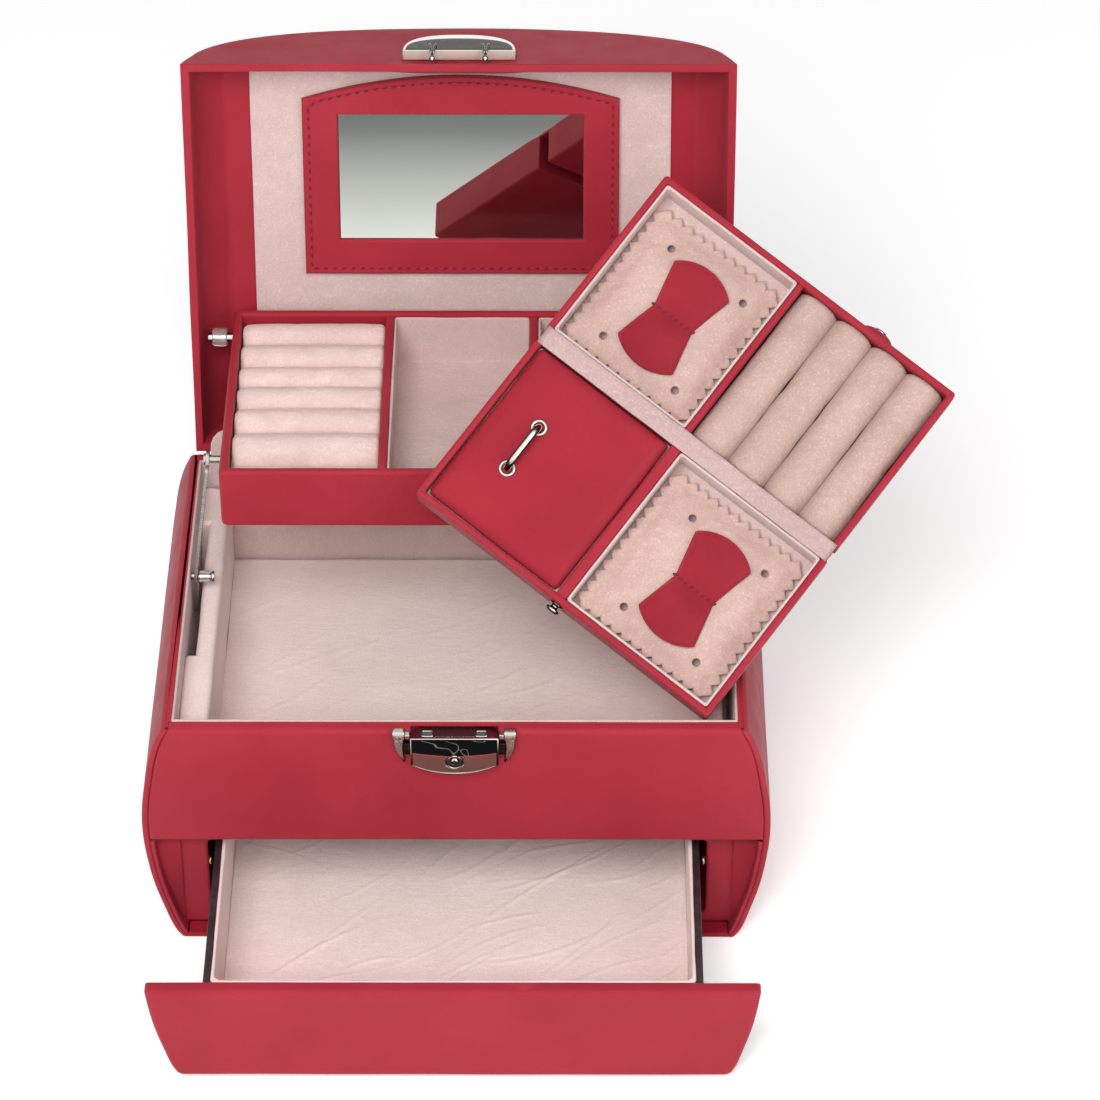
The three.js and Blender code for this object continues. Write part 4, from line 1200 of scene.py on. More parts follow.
def build_lid():
    shape = dimple(lid_shell_shape(), 1.0 * MM)
    piece("lid_skin", shape, "lid", RED_LEATHER, LID, "lid_shell", ripple=(0.22 * MM, 0.045, 14))

    panel = Box("lid_lining_panel", LID_INSIDE)
    rule = crease_field(21, 40, panel.x0, panel.x1, panel.y0, panel.y1, 14, 0.26 * MM, 70 * MM)
    sheet = cloth_floor(panel.x0, panel.x1, panel.y0, panel.y1, panel.z0, panel.z1 - 0.4 * MM, rule, step=1.4 * MM)
    piece("lid_suede", sheet, "lid", SUEDE, LID_INSIDE, "lid_lining_panel", ripple=(0.25 * MM, 0.03, 15))
    build_mirror()
    build_catch()
    pin, tube_box = Box("lid_pin_right"), Box("lid_spacer_right")
    for side, sign in (("right", 1), ("left", -1)):
        centre = Vector((sign * pin.x0, pin.centre.y, pin.centre.z))
        length = pin.x1 - pin.x0
        shape = lathe(pin_profile(length, 2 * MM), centre, (sign, 0, 0))
        piece("lid_pin_skin_" + side, shape, "lid", CHROME, stands_for="lid_pin_" + side)
        start = Vector((sign * (tube_box.x0 - 0.8 * MM), pin.centre.y, pin.centre.z))
        width, outer, bore = tube_box.x1 - tube_box.x0, 4 * MM, 2.2 * MM
        profile = [(0, bore), (0, outer - 0.3 * MM), (0.3 * MM, outer), (width - 0.3 * MM, outer), (width, outer - 0.3 * MM),
                   (width, bore)]
        shape = ring_lathe(profile, start, (sign, 0, 0))
        piece("lid_spacer_skin_" + side, shape, "lid", CLEAR, stands_for="lid_spacer_" + side)


def ring_lathe(profile, origin, direction, sides=32):
    """A turned part with a hole through it."""
    direction = Vector(direction).normalized()
    side = direction.orthogonal().normalized()
    other = direction.cross(side)
    loops = [[Vector(origin) + direction * d + (side * math.cos(a) + other * math.sin(a)) * r
              for a in turn(0, 360, sides)[:-1]] for d, r in profile]
    return loft(loops, ring=True)


def mirror_outline(box, inset, count_side, count_arch):
    """The frame's outline in x and y, square at the bottom and arched at the top, moved in by inset."""
    shoulder = box.y1 - 11 * MM
    x1, y0 = box.x1 - inset, box.y0 + inset
    points = []
    for i in range(count_arch):
        x = -x1 + 2 * x1 * i / count_arch
        points.append(Vector((x, y0, 0)))
    for i in range(count_side):
        top = shoulder - inset * 1.25
        points.append(Vector((x1, y0 + (top - y0) * i / count_side, 0)))
    for i in range(count_arch):
        x = x1 - 2 * x1 * i / count_arch
        points.append(Vector((x, shoulder + 11 * MM * (1 - (x / box.x1) ** 2) - inset, 0)))
    for i in range(count_side):
        top = shoulder - inset * 1.25
        points.append(Vector((-x1, top + (y0 - top) * i / count_side, 0)))
    return points


def build_mirror():
    box, glass = Box("mirror_frame", LID_INSIDE), Box("mirror_glass", LID_INSIDE)
    sides, arches = 24, 40
    inner = Box("mirror_glass", LID_INSIDE)

    def opening(margin, z):
        x1, y0, y1 = inner.x1 + margin, inner.y0 - margin, inner.y1 + margin
        pts = [Vector((-x1 + 2 * x1 * i / arches, y0, z)) for i in range(arches)]
        pts += [Vector((x1, y0 + (y1 - y0) * i / sides, z)) for i in range(sides)]
        pts += [Vector((x1 - 2 * x1 * i / arches, y1, z)) for i in range(arches)]
        pts += [Vector((-x1, y1 - (y1 - y0) * i / sides, z)) for i in range(sides)]
        return pts

    def outer(inset, z):
        return [Vector((p.x, p.y, z)) for p in mirror_outline(box, inset, sides, arches)]

    top, low, soft = box.z1, box.z0, 1.2 * MM
    loops = [outer(0, low)]
    loops += [outer(soft * (1 - math.cos(a)), top - soft + soft * math.sin(a)) for a in turn(0, 90, 4)]
    first = outer(soft, top)
    last = opening(soft * 0.8, top)
    for k in range(1, 8):
        t = k / 8
        sag = 0.35 * MM * math.exp(-((t - 0.16) / 0.09) ** 2)
        loops.append([a.lerp(b, t) - Vector((0, 0, sag)) for a, b in zip(first, last)])
    loops += [opening(soft * 0.8 * (1 - math.sin(a)), top - soft * (1 - math.cos(a))) for a in turn(0, 90, 4)]
    loops.append(opening(0, low))
    piece("mirror_surround", loft(loops, ring=True), "lid", RED_LEATHER, LID_INSIDE, "mirror_frame",
          ripple=(0.1 * MM, 0.02, 16))
    path = [Vector((p.x, p.y, top - 0.1 * MM)) for p in mirror_outline(box, 2.9 * MM, sides, arches)]
    gaps = stitches(path, 4.1 * MM, 1.9 * MM, 0.95 * MM, UP, closed=True, slant=0.25)
    piece("mirror_stitch_holes", gaps, "lid", THREAD, LID_INSIDE)
    beads = stitches(path, 4.1 * MM, 2.6 * MM, 0.8 * MM, UP, closed=True, slant=-0.1, phase=0.5)
    piece("mirror_stitches", beads, "lid", RED_THREAD, LID_INSIDE)
    shape = round_box((glass.x0, glass.y0, glass.z0), (glass.x1, glass.y1, glass.z1 - 0.3 * MM), 0.25 * MM, step=20 * MM, bends=2)
    piece("mirror_plate", shape, "lid", MIRROR, LID_INSIDE, "mirror_glass")


def build_catch():
    """The D-shaped plate on the lid's front edge, with two ball-ended prongs on its face. Its bright rim and shelf are
    painted highlights, its near-black face a painted reflection.
    """
    box, panel = Box("catch_plate", LID), Box("lid_shell", LID)
    low, high = 6.3 * MM, 26.3 * MM
    out = LID @ placement(ALONG_X, UP, -ALONG_Y)
    base, top = -panel.y0 - 2.4 * MM, -box.y0
    outline = [(-box.x1, low), (box.x1, low), (box.x1, low + 2.0 * MM)]
    dome = [(box.x1 * math.copysign(abs(math.cos(a)) ** 0.85, math.cos(a)), low + 3 * MM + (high - low - 3 * MM) * math.sin(a) ** 0.85)
            for a in turn(4, 176, 44)]
    outline += dome + [(-box.x1, low + 2.0 * MM)]
    levels = [(0, base), (0, top - 1.6 * MM), (0.2 * MM, top - 1.1 * MM), (0.7 * MM, top - 0.6 * MM), (1.5 * MM, top - 0.3 * MM),
              (2.6 * MM, top - 0.2 * MM)]
    piece("catch_skin", plate(outline, levels), "lid", CATCH_HIGHLIGHT, out, "catch_plate")
    # painted reflection: the inner face of the plate is near-black
    inner = [(x * 0.94, low + 0.5 * MM + (z - low) * 0.66) for x, z in dome]
    inner = [(box.x1 * 0.955, low + 0.3 * MM)] + inner + [(-box.x1 * 0.955, low + 0.3 * MM)]
    face = plate(inner, [(0, top - 1.6 * MM), (0, top - 0.25 * MM), (0.3 * MM, top), (3.0 * MM, top - 0.15 * MM)])
    piece("catch_face", face, "lid", PAINTED_DARK_CHROME, out)
    # painted highlight: the shelf under the plate is pale
    shelf = round_box((-box.x1 + 0.1 * MM, low - 0.2 * MM, base + 2.0 * MM), (box.x1 - 0.1 * MM, low + 1.4 * MM, top - 0.2 * MM), 0.3 * MM,
                      step=3 * MM)
    piece("catch_shelf", shelf, "lid", CATCH_EDGE_HIGHLIGHT, out)
    prongs = []
    for x in (-11.5 * MM, 11.5 * MM):
        y = top - 0.2 * MM
        for side in (-0.9 * MM, 0.9 * MM):
            horn = catmull([(x + side * 1.2, low + 5.4 * MM, y - 0.6 * MM), (x + side * 1.4, low + 4.4 * MM, y + 0.9 * MM),
                            (x + side, low + 1.5 * MM, y + 0.8 * MM), (x + side * 0.6, low - 3 * MM, y + 0.3 * MM)], 6)
            prongs.append(tube(horn, 0.55 * MM, 12))
        prongs.append(tube([(x, low - 1.5 * MM, y), (x, low - 7.6 * MM, y - 1.2 * MM)], 0.9 * MM, 14))
        ball = [(1.35 * MM * (1 - math.cos(a)), 1.35 * MM * math.sin(a)) for a in turn(4, 176, 10)]
        prongs.append(lathe(ball, Vector((x, low - 5.6 * MM, y - 1.0 * MM)), (0, -1, 0), 16))
    piece("catch_prongs", merged(*prongs), "lid", CHROME, out)


# ---------------------------------------------------------------- tray
def roll_shape(length, radius, low, seed, ends=1.6 * MM):
    """A stuffed roll along x, resting flat below: y across, z up, its top at z 0."""
    loops = []
    sides = 28
    for x in edge_offsets(length, ends, 2.0 * MM):
        distance = min(x, length - x)
        pull = 0.0
        if distance < ends:
            pull = (ends - math.sqrt(max(ends**2 - (ends - distance) ** 2, 0))) * 0.8
        loop = []
        for a in turn(0, 360, sides)[:-1]:
            y, z = math.cos(a), math.sin(a)
            squash = 1.0 if z > 0 else 0.97
            wobble = 0.22 * MM * noise.noise(Vector((x / 0.011 + seed * 3.1, y * 1.4 + seed, z * 1.4)))
            r = radius - pull + wobble
            pz = max(z * r, -low + pull * 0.4) if z < 0 else z * r
            loop.append(Vector((x, y * r * squash, pz - radius)))
        loops.append(loop)
    return loft(loops)


def build_tray():
    tray = Box("tray_shell")
    wall, floor = 3.8 * MM, 3 * MM
    shape = open_box(tray.x0, tray.x1, tray.y0, tray.y1, tray.z0, tray.z1, wall, floor, 1.5 * MM, 1.5 * MM,
                     inner_corner=0.5 * MM, side_bend=2.4 * MM, step=6 * MM)
    piece("tray_skin", shape, "tray", RED_LEATHER, stands_for="tray_shell", ripple=(0.14 * MM, 0.03, 17))
    cloth = Box("tray_base_cloth")
    shape = round_box((cloth.x0, cloth.y0, cloth.z0), (cloth.x1, cloth.y1, cloth.z1), 0.25 * MM, step=6 * MM, bends=2)
    piece("tray_cloth", shape, "tray", BLACK_CLOTH, stands_for="tray_base_cloth", ripple=(0.12 * MM, 0.02, 18))

    lining, left, right = Box("tray_lining"), Box("tray_divider_left"), Box("tray_divider_right")
    for name, box in (("left", left), ("right", right)):
        shape = round_box((box.x0, box.y0 - 0.9 * MM, box.z0), (box.x1, box.y1 + 0.9 * MM, box.z1), 1.6 * MM, step=5 * MM)
        piece("tray_divider_skin_" + name, shape, "tray", RED_LEATHER, stands_for="tray_divider_" + name,
              ripple=(0.1 * MM, 0.02, 19))
    bays = (("left", lining.x0, left.x0), ("middle", left.x1, right.x0), ("right", right.x1, lining.x1))
    for i, (name, x0, x1) in enumerate(bays):
        top = lining.z1 if name != "left" else lining.z1 - 9 * MM
        shape = open_box(x0 + SEAM, x1 - SEAM, lining.y0, lining.y1, lining.z0, top, 1.0 * MM, 1.0 * MM,
                         0.48 * MM, 0.9 * MM, step=4 * MM)
        piece("tray_suede_" + name, shape, "tray", SUEDE, stands_for="tray_lining", ripple=(0.28 * MM, 0.014, 20 + i))
    rolls = Box("tray_ring_rolls")
    pitches = [p * MM for p in (18.2, 17.2, 15.0, 14.4, 17.2, 15.2)]
    y = rolls.y1
    for i, pitch in enumerate(reversed(pitches)):
        radius = pitch / 2 + 0.2 * MM
        shape = roll_shape(rolls.x1 - rolls.x0, radius, rolls.z1 - rolls.z0 - radius, i)
        shape = stuffed(shape, 1.8 * MM, 0.6 * MM, lambda p, r=radius: p.z < -1.6 * r, slack=0.02)
        place = Matrix.Translation((rolls.x0, y - pitch / 2, rolls.z1 - 0.3 * MM))
        piece(f"tray_roll_{i + 1}", shape, "tray", TRAY_ROLL_SUEDE, place, "tray_ring_rolls" if i == 0 else ())
        y -= pitch
    strip = round_box((rolls.x0, rolls.y0, rolls.z0), (rolls.x1, y + 3 * MM, rolls.z1 - 8 * MM), 0.8 * MM, step=3 * MM)
    piece("tray_roll_strip", strip, "tray", SUEDE, ripple=(0.25 * MM, 0.012, 27))


def build_arms():
    for side, sign in (("right", 1), ("left", -1)):
        dress("arm_" + side, STEEL, bevel=0.3 * MM)
        dress("arm_pin_" + side, CHROME, bevel=0.25 * MM)
        spacer = Box("arm_spacer_" + side)
        near = spacer.x0 if sign > 0 else spacer.x1
        width, outer, bore = spacer.x1 - spacer.x0, (spacer.z1 - spacer.z0) / 2, 1.7 * MM
        profile = [(0, bore), (0, outer - 0.3 * MM), (0.3 * MM, outer), (width - 0.3 * MM, outer),
                   (width, outer - 0.3 * MM), (width, bore)]
        shape = ring_lathe(profile, Vector((near, spacer.centre.y, spacer.centre.z)), (sign, 0, 0))
        piece("arm_spacer_skin_" + side, shape, "chest", CLEAR, stands_for="arm_spacer_" + side)


# ---------------------------------------------------------------- drawer
def build_drawer():
    front = Box("drawer_front")
    inset = max(barrel(v.co.z) - v.co.x for v in frame["nodes"]["drawer_front"].data.vertices if v.co.x > 0)

    def half(z):
        return rounded_end(barrel(z) - inset, z, front.z0, front.z1, 4.2 * MM, 1.6 * MM)

    shape = slab(front.z0, front.z1, half, -front.y1, -front.y0, 2.0 * MM, 2.2 * MM, step=4 * MM)
    piece("drawer_face", shape, "drawer", RED_LEATHER, FRONT, "drawer_front", ripple=(0.18 * MM, 0.05, 23))
    box = Box("drawer_box")
    shape = open_box(box.x0, box.x1, box.y0, box.y1, box.z0, box.z1, 3 * MM, 2.5 * MM, 0.7 * MM, 1.2 * MM,
                     inner_corner=0.8 * MM)
    piece("drawer_tray", shape, "drawer", PAPER_AND_PAINTED_SHADE, stands_for="drawer_box", ripple=(0.06 * MM, 0.02, 24))
    lining = Box("drawer_lining")
    shape = open_box(lining.x0, lining.x1, lining.y0, lining.y1, lining.z0, lining.z1 + 0.3 * MM, 1.5 * MM, 1.0 * MM,
                     0.7 * MM, 2.2 * MM, inner_corner=3.2 * MM, step=4 * MM)
    piece("drawer_suede", shape, "drawer", PAINTED_LIGHT_SUEDE, stands_for="drawer_lining", ripple=(0.25 * MM, 0.014, 25))
    x1, y0, y1 = lining.x1 - 1.7 * MM, lining.y0 + 1.7 * MM, lining.y1 - 1.7 * MM
    rule = crease_field(7, 60, -x1, x1, y0, y1, 34, 0.5 * MM, 95 * MM)
    sheet = cloth_floor(-x1, x1, y0, y1, lining.z0 + 0.9 * MM, lining.z0 + 1.7 * MM, rule, step=1.0 * MM)
    piece("drawer_floor", sheet, "drawer", PAINTED_LIGHT_SUEDE, ripple=(0.22 * MM, 0.03, 26))
    stop = Box("drawer_stop_right")
    profile = [(0, 1.1 * MM), (1.2 * MM, 1.1 * MM), (1.25 * MM, 1.9 * MM), (1.7 * MM, 2.0 * MM), (2.3 * MM, 1.7 * MM),
               (2.55 * MM, 0.9 * MM)]
    for side, sign in (("right", 1), ("left", -1)):
        origin = Vector((sign * stop.x0, stop.centre.y, stop.centre.z))
        piece("drawer_stud_" + side, lathe(profile, origin, (sign, 0, 0)), "drawer", BRASS,
              stands_for="drawer_stop_" + side)


# ---------------------------------------------------------------- travel case
HOLE_X, HOLE_Y = 19.2 * MM, 23.8 * MM


def case_box(node):
    return Box(node, CASE)


def pad_swell(cx, cy, half_x, half_y, flap):
    """How far the stuffed cushion swells above its plain form: zero where it is sewn down, at its edge, its four
    holes and under the bow's waist."""
    deep = 9 * MM
    block = round_box((-half_x, -half_y, -deep), (half_x, half_y, 0), 2 * MM, step=4 * MM)
    bow_x, bow_y = flap.centre.x - cx, flap.centre.y - cy
    spots = [(bow_x + sx * HOLE_X, bow_y + sy * HOLE_Y) for sx in (-1, 1) for sy in (-1, 1)]

    def held(p):
        near_hole = min(math.hypot(p.x - x, p.y - y) for x, y in spots) < 3 * MM
        waist = abs(p.x - bow_x) < 11 * MM and abs(p.y - bow_y) < 3 * MM
        return p.z < -1.5 * MM or near_hole or waist or max(abs(p.x) - half_x, abs(p.y) - half_y) > -3 * MM

    soft = stuffed(block, 2.6 * MM, 1.5 * MM, held, slack=0.03)
    tree = BVHTree.FromPolygons([Vector(p) for p in soft[0]], soft[1])

    def rule(x, y):
        hit = tree.ray_cast(Vector((x - cx, y - cy, 20 * MM)), Vector((0, 0, -1)))[0]
        margin = min(half_x - abs(x - cx), half_y - abs(y - cy)) / (6 * MM)
        return 0.0 if hit is None else hit.z * min(1.0, max(0.0, margin))

    return rule


def pinked_pad(box, flap, pitch=2.8 * MM, tooth=2.9 * MM, crown=4.6 * MM):
    """An earring cushion: a crowned sheet with pinked edges that droop to the lining."""
    cx, cy = box.centre.x, box.centre.y
    half_x, half_y = (box.x1 - box.x0) / 2 - tooth + 0.5 * MM, (box.y1 - box.y0) / 2 - tooth + 0.5 * MM
    nx, ny = 2 * round(half_x / pitch), 2 * round(half_y / pitch)
    fine = 3
    swell = pad_swell(cx, cy, half_x, half_y, flap)

    def height(x, y):
        u, v = (x - cx) / half_x, (y - cy) / half_y
        fade = (1 - min(abs(u), 1) ** 2.6) * (1 - min(abs(v), 1) ** 2.6)
        pull = math.exp(-((x - flap.centre.x) / (9 * MM)) ** 2 - ((y - flap.centre.y) / (4 * MM)) ** 2)
        edge = max(abs(u), abs(v))
        wrinkle = noise.noise(Vector((x / 0.016, y / 0.006, cx * 40))) + noise.noise(Vector((x / 0.006, y / 0.016, 7)))
        return box.z1 - crown * (1 - fade**0.8) + 1.2 * MM - 0.8 * MM * pull + 0.3 * MM * wrinkle * edge**2 + swell(x, y)

    xs = [cx - half_x + 2 * half_x * i / (nx * fine) for i in range(nx * fine + 1)]
    ys = [cy - half_y + 2 * half_y * i / (ny * fine) for i in range(ny * fine + 1)]
    parts = [patch([[Vector((x, y, height(x, y))) for x in xs] for y in ys])]

    def teeth(corners, outward):
        for i in range(0, len(corners) - 1, 2 * fine):
            foot = corners[i:i + 2 * fine + 1]
            tip = foot[fine] + outward * tooth - Vector((0, 0, 0.55 * MM))
            parts.append((foot + [tip], [[k, k + 1, len(foot)] for k in range(len(foot) - 1)]))

    for y, outward in ((ys[0], Vector((0, -1, 0))), (ys[-1], Vector((0, 1, 0)))):
        teeth([Vector((x, y, height(x, y))) for x in xs], outward)
    for x, outward in ((xs[0], Vector((-1, 0, 0))), (xs[-1], Vector((1, 0, 0)))):
        teeth([Vector((x, y, height(x, y))) for y in ys], outward)
    return merged(*parts), 1.0 * MM, height


def solid_from_sheet(shape, thick):
    """Closes a sheet into a solid by giving it an underside and an edge wall."""
    bm = bmesh.new()
    verts = [bm.verts.new(p) for p in shape[0]]
    for face in shape[1]:
        bm.faces.new([verts[i] for i in face])
    bmesh.ops.remove_doubles(bm, verts=bm.verts, dist=0.01 * MM)
    bmesh.ops.recalc_face_normals(bm, faces=bm.faces)
    if sum(f.normal.z for f in bm.faces) < 0:
        bmesh.ops.reverse_faces(bm, faces=bm.faces)
    bm.verts.index_update()
    points = [v.co.copy() for v in bm.verts]
    top = [[v.index for v in f.verts] for f in bm.faces]
    count = len(points)
    low = [p - Vector((0, 0, thick)) for p in points]
    faces = top + [[count + i for i in f][::-1] for f in top]
    for e in bm.edges:
        if e.is_boundary:
            a, b = e.verts[0].index, e.verts[1].index
            faces.append([a, b, count + b, count + a])
    bm.free()
    return points + low, faces


def cut_holes(obj, holes, place, radius):
    """Bores round holes through a piece with a boolean, applied."""
    cutters = merged(*[lathe([(-4 * MM, radius), (4 * MM, radius)], Vector(h), (0, 0, 1), 20) for h in holes])
    mesh = bpy.data.meshes.new("cutter")
    mesh.from_pydata([tuple(place @ Vector(p)) for p in cutters[0]], [], cutters[1])
    bm = bmesh.new()
    bm.from_mesh(mesh)
    bmesh.ops.recalc_face_normals(bm, faces=bm.faces)
    bm.to_mesh(mesh)
    bm.free()
    cutter = bpy.data.objects.new("cutter", mesh)
    bpy.context.scene.collection.objects.link(cutter)
    cut = obj.modifiers.new("holes", "BOOLEAN")
    cut.operation = "DIFFERENCE"
    cut.solver = "EXACT"
    cut.object = cutter
    evaluated = obj.evaluated_get(bpy.context.evaluated_depsgraph_get())
    result = bpy.data.meshes.new_from_object(evaluated)
    obj.modifiers.clear()
    obj.data = result
    for polygon in result.polygons:
        polygon.use_smooth = True
    obj.modifiers.new("even_normals", "WEIGHTED_NORMAL")
    bpy.data.objects.remove(cutter)


def bow_shape(cx, cy, height_at):
    """The stitched leather bow: two lobes that lift towards their tips, with an embossed line inside the edge."""
    tip, waist, shoulder, widest, round_r = 25.7 * MM, 10.1 * MM, 19.8 * MM, 14.7 * MM, 21.8 * MM
    arc_drop = math.sqrt(round_r**2 - widest**2) - shoulder

    def half(v):
        a = abs(v)
        if a <= shoulder:
            share = a / shoulder
            return waist + (widest - waist) * share
        return math.sqrt(max(round_r**2 - (a + arc_drop) ** 2, 0))

    def relief(u, v, du, dend):
        a = abs(v)
        edge = min(du, (math.sqrt(max(round_r**2 - u**2, 0)) - arc_drop) - a)
        ridge = 0.3 * MM * math.exp(-((edge - 0.55 * MM) / (0.3 * MM)) ** 2)
        groove = 0.34 * MM * math.exp(-((edge - 1.3 * MM) / (0.35 * MM)) ** 2)
        return ridge - groove + 0.25 * MM * min(1.0, edge / (5 * MM)) * math.exp(-((a - 11 * MM) / (7 * MM)) ** 2)

    end = round_r - arc_drop
    flat = slab(-end + 0.05 * MM, end - 0.05 * MM, half, 0, 1.2 * MM, 0.45 * MM, 0.3 * MM, step=0.8 * MM, height=relief)

    def settle(p):
        lift = 2.6 * MM * (abs(p.y) / tip) ** 2.2
        sink = 0.6 * MM * math.exp(-(p.y / (1.5 * MM)) ** 2)
        q = Vector((p.x + cx, p.y + cy, 0))
        q.z = height_at(q.x, q.y) + 0.15 * MM + p.z + lift - sink
        return q

    return warped(flat, settle)


def build_pad(name, body, seed):
    box, flap = case_box(name + "_pad"), case_box(name + "_flap")
    sheet, thick, height = pinked_pad(box, flap)
    pad = piece(name + "_cushion", solid_from_sheet(sheet, thick), body, PAD_SUEDE, CASE, name + "_pad")
    cx, cy = flap.centre.x, flap.centre.y
    spots = [(cx + sx * HOLE_X, cy + sy * HOLE_Y) for sx in (-1, 1) for sy in (-1, 1)]
    holes = [(x, y, height(x, y)) for x, y in spots]
    cut_holes(pad, holes, CASE, 1.6 * MM)
    rims = [[Vector((x + 1.75 * MM * math.cos(a), y + 1.75 * MM * math.sin(a), 0)) for a in turn(0, 360, 20)[:-1]] for x, y in spots]
    rings = []
    for loop in rims:
        loop = [Vector((p.x, p.y, height(p.x, p.y) + 0.03 * MM)) for p in loop]
        rings.append(stitches(loop, 0.9 * MM, 1.2 * MM, 0.45 * MM, UP, closed=True))
    piece(name + "_eyelets", merged(*rings), body, HOLE_THREAD, CASE)
    bow = bow_shape(flap.centre.x, flap.centre.y, height)
    piece(name + "_bow", bow, body, FLAP_LEATHER, CASE, name + "_flap")
    path = []
    for i in range(25):
        x = flap.centre.x - 11.6 * MM + 23.2 * MM * i / 24
        y = flap.centre.y + 0.2 * MM * math.sin(i * 1.9)
        path.append(Vector((x, y, height(x, y) + 0.75 * MM)))
    seam = stitches(path, 2.9 * MM, 2.6 * MM, 1.3 * MM, UP, slant=0.8)
    piece(name + "_stitches", seam, body, THREAD, CASE)


def build_case_half(side, body):
    """One half of the travel case: leather shell, divider and lining."""
    shell, divider = case_box(body + "_shell"), case_box(body + "_divider")
    wall = 3 * MM
    shape = open_box(shell.x0, shell.x1, shell.y0, shell.y1, shell.z0, shell.z1, wall, 1.8 * MM, 1.35 * MM, 1.6 * MM,
                     inner_corner=0.5 * MM, low_round=1.2 * MM, step=6 * MM)
    near, spine_wall = min(abs(shell.y0), abs(shell.y1)), 0.5 * MM

    def thin(p):
        if abs(p.y) - near < wall + 0.05 * MM:
            p.y = math.copysign(near + (abs(p.y) - near) * spine_wall / wall, p.y)
            p.z -= 0.7 * MM if p.z > shell.z1 - 4 * MM else 0
        return p

    shape = warped(shape, thin)
    piece(body + "_skin", shape, body, RED_LEATHER, CASE, body + "_shell", ripple=(0.06 * MM, 0.025, 30 + side))
    shape = round_box((divider.x0, divider.y0 - 0.6 * MM, divider.z0), (divider.x1, divider.y1 + 0.6 * MM, divider.z1 + 0.1 * MM),
                      1.3 * MM, step=5 * MM)
    piece(body + "_divider_skin", shape, body, RED_LEATHER, CASE, body + "_divider", ripple=(0.08 * MM, 0.02, 33))
    lining = case_box(body + "_lining")
    shape = open_box(lining.x0, lining.x1, lining.y0, lining.y1, lining.z0, lining.z1 + 0.7 * MM, 1.25 * MM, 1.2 * MM, 0.6 * MM,
                     1.2 * MM, inner_corner=1.0 * MM, step=3 * MM)
    piece(body + "_suede", shape, body, SUEDE, CASE, body + "_lining", ripple=(0.12 * MM, 0.012, 35 + side))


def build_case():
    build_case_half(0, "case_base")
    build_case_half(1, "case_lid")
    build_pad("case_base", "case_base", 41)
    build_pad("case_lid", "case_lid", 42)
    store = case_box("case_base_store_lining")
    shape = open_box(store.x0, store.x1, store.y0, store.y1, store.z0, store.z1 - 0.5 * MM, 1.2 * MM, 1.2 * MM, 0.55 * MM, 0.8 * MM)
    piece("case_store_suede", shape, "case_base", SUEDE, CASE, "case_base_store_lining", ripple=(0.1 * MM, 0.02, 43))
    cover = case_box("case_cover")
    y1 = cover.y1 + 0.4 * MM
    shape = slab(cover.y0, y1, lambda v: rounded_end((cover.x1 - cover.x0) / 2, v, cover.y0, y1, 1.6 * MM, 1.6 * MM),
                 cover.z0, cover.z1, 1.8 * MM, 1.8 * MM, step=2.5 * MM, crown=0.5 * MM, centre=cover.centre.x)
    low = cover.z1 - 1.2 * MM
    shape = stuffed(shape, 1.8 * MM, 0.5 * MM, lambda p: p.z < low, slack=0.01)
    piece("case_cover_skin", shape, "case_base", SHADED_COVER_LEATHER, CASE, "case_cover", ripple=(0.3 * MM, 0.028, 44))
    build_handle(max(p[2] for p in shape[0]) - 0.1 * MM)
    build_spine()
    build_case_rolls()
    build_fastener()


def build_handle(surface):
    handle = case_box("case_handle")
    x, y = handle.centre.x, handle.centre.y
    reach = (handle.y1 - handle.y0) / 2 - 3.6 * MM
    high = handle.z1 - 0.6 * MM
    path = catmull([(x, y - reach, surface - 0.6 * MM), (x, y - reach + 0.3 * MM, surface + 1.4 * MM),
                    (x, y - reach * 0.72, high - 0.5 * MM), (x, y - reach * 0.3, high), (x, y + reach * 0.3, high),
                    (x, y + reach * 0.72, high - 0.5 * MM), (x, y + reach - 0.3 * MM, surface + 1.4 * MM),
                    (x, y + reach, surface - 0.6 * MM)], 7)
    piece("case_handle_skin", tube(path, 1.6 * MM, 24), "case_base", CHROME, CASE, "case_handle")
    washers = []
    for dy in (-reach, reach):
        profile = [(0, 2.0 * MM), (0, 3.55 * MM), (0.35 * MM, 3.75 * MM), (0.8 * MM, 3.45 * MM), (0.95 * MM, 2.9 * MM), (0.7 * MM, 2.2 * MM),
                   (0.35 * MM, 2.0 * MM)]
        washers.append(ring_lathe(profile, Vector((x, y + dy, surface - 0.25 * MM)), (0, 0, 1), 36))
    piece("case_handle_washers", merged(*washers), "case_base", CHROME, CASE)


def build_spine():
    """The velour strip over the fold and the leather behind it."""
    spine, shell = case_box("case_spine"), case_box("case_base_shell")
    near, reach = -shell.y1, 4.25 * MM
    curve = [(y, 0.12 * MM + 0.42 * MM * (1 - (y / reach) ** 2) ** 0.5 if abs(y) < reach else 0.12 * MM)
             for y in span(-reach, reach, 0.7 * MM)]
    thick = 0.9 * MM
    section = curve + [(y, z - thick) for y, z in reversed(curve)]
    shape = moved(extruded(section, shell.x0 + 0.9 * MM, shell.x1 - 0.9 * MM, 3 * MM), CASE)
    ends = (CASE @ Vector((0, -near * 0.95, 0)), CASE @ Vector((0, near * 0.95, 0)))
    blend = ("case_base", "case_lid", tuple(ends[0]), tuple(ends[1]))
    piece("case_spine_suede", shape, None, SPINE_SUEDE, stands_for="case_spine", blend=blend, ripple=(0.22 * MM, 0.008, 45))
    low = spine.z0 - 0.1 * MM
    section = [(y, low) for y in span(-near, near, 0.8 * MM)] + [(y, low - 0.7 * MM) for y in span(near, -near, 0.8 * MM)]
    shape = moved(extruded(section, shell.x0 + 0.6 * MM, shell.x1 - 0.6 * MM, 6 * MM), CASE)
    piece("case_spine_leather", shape, None, RED_LEATHER, blend=blend)


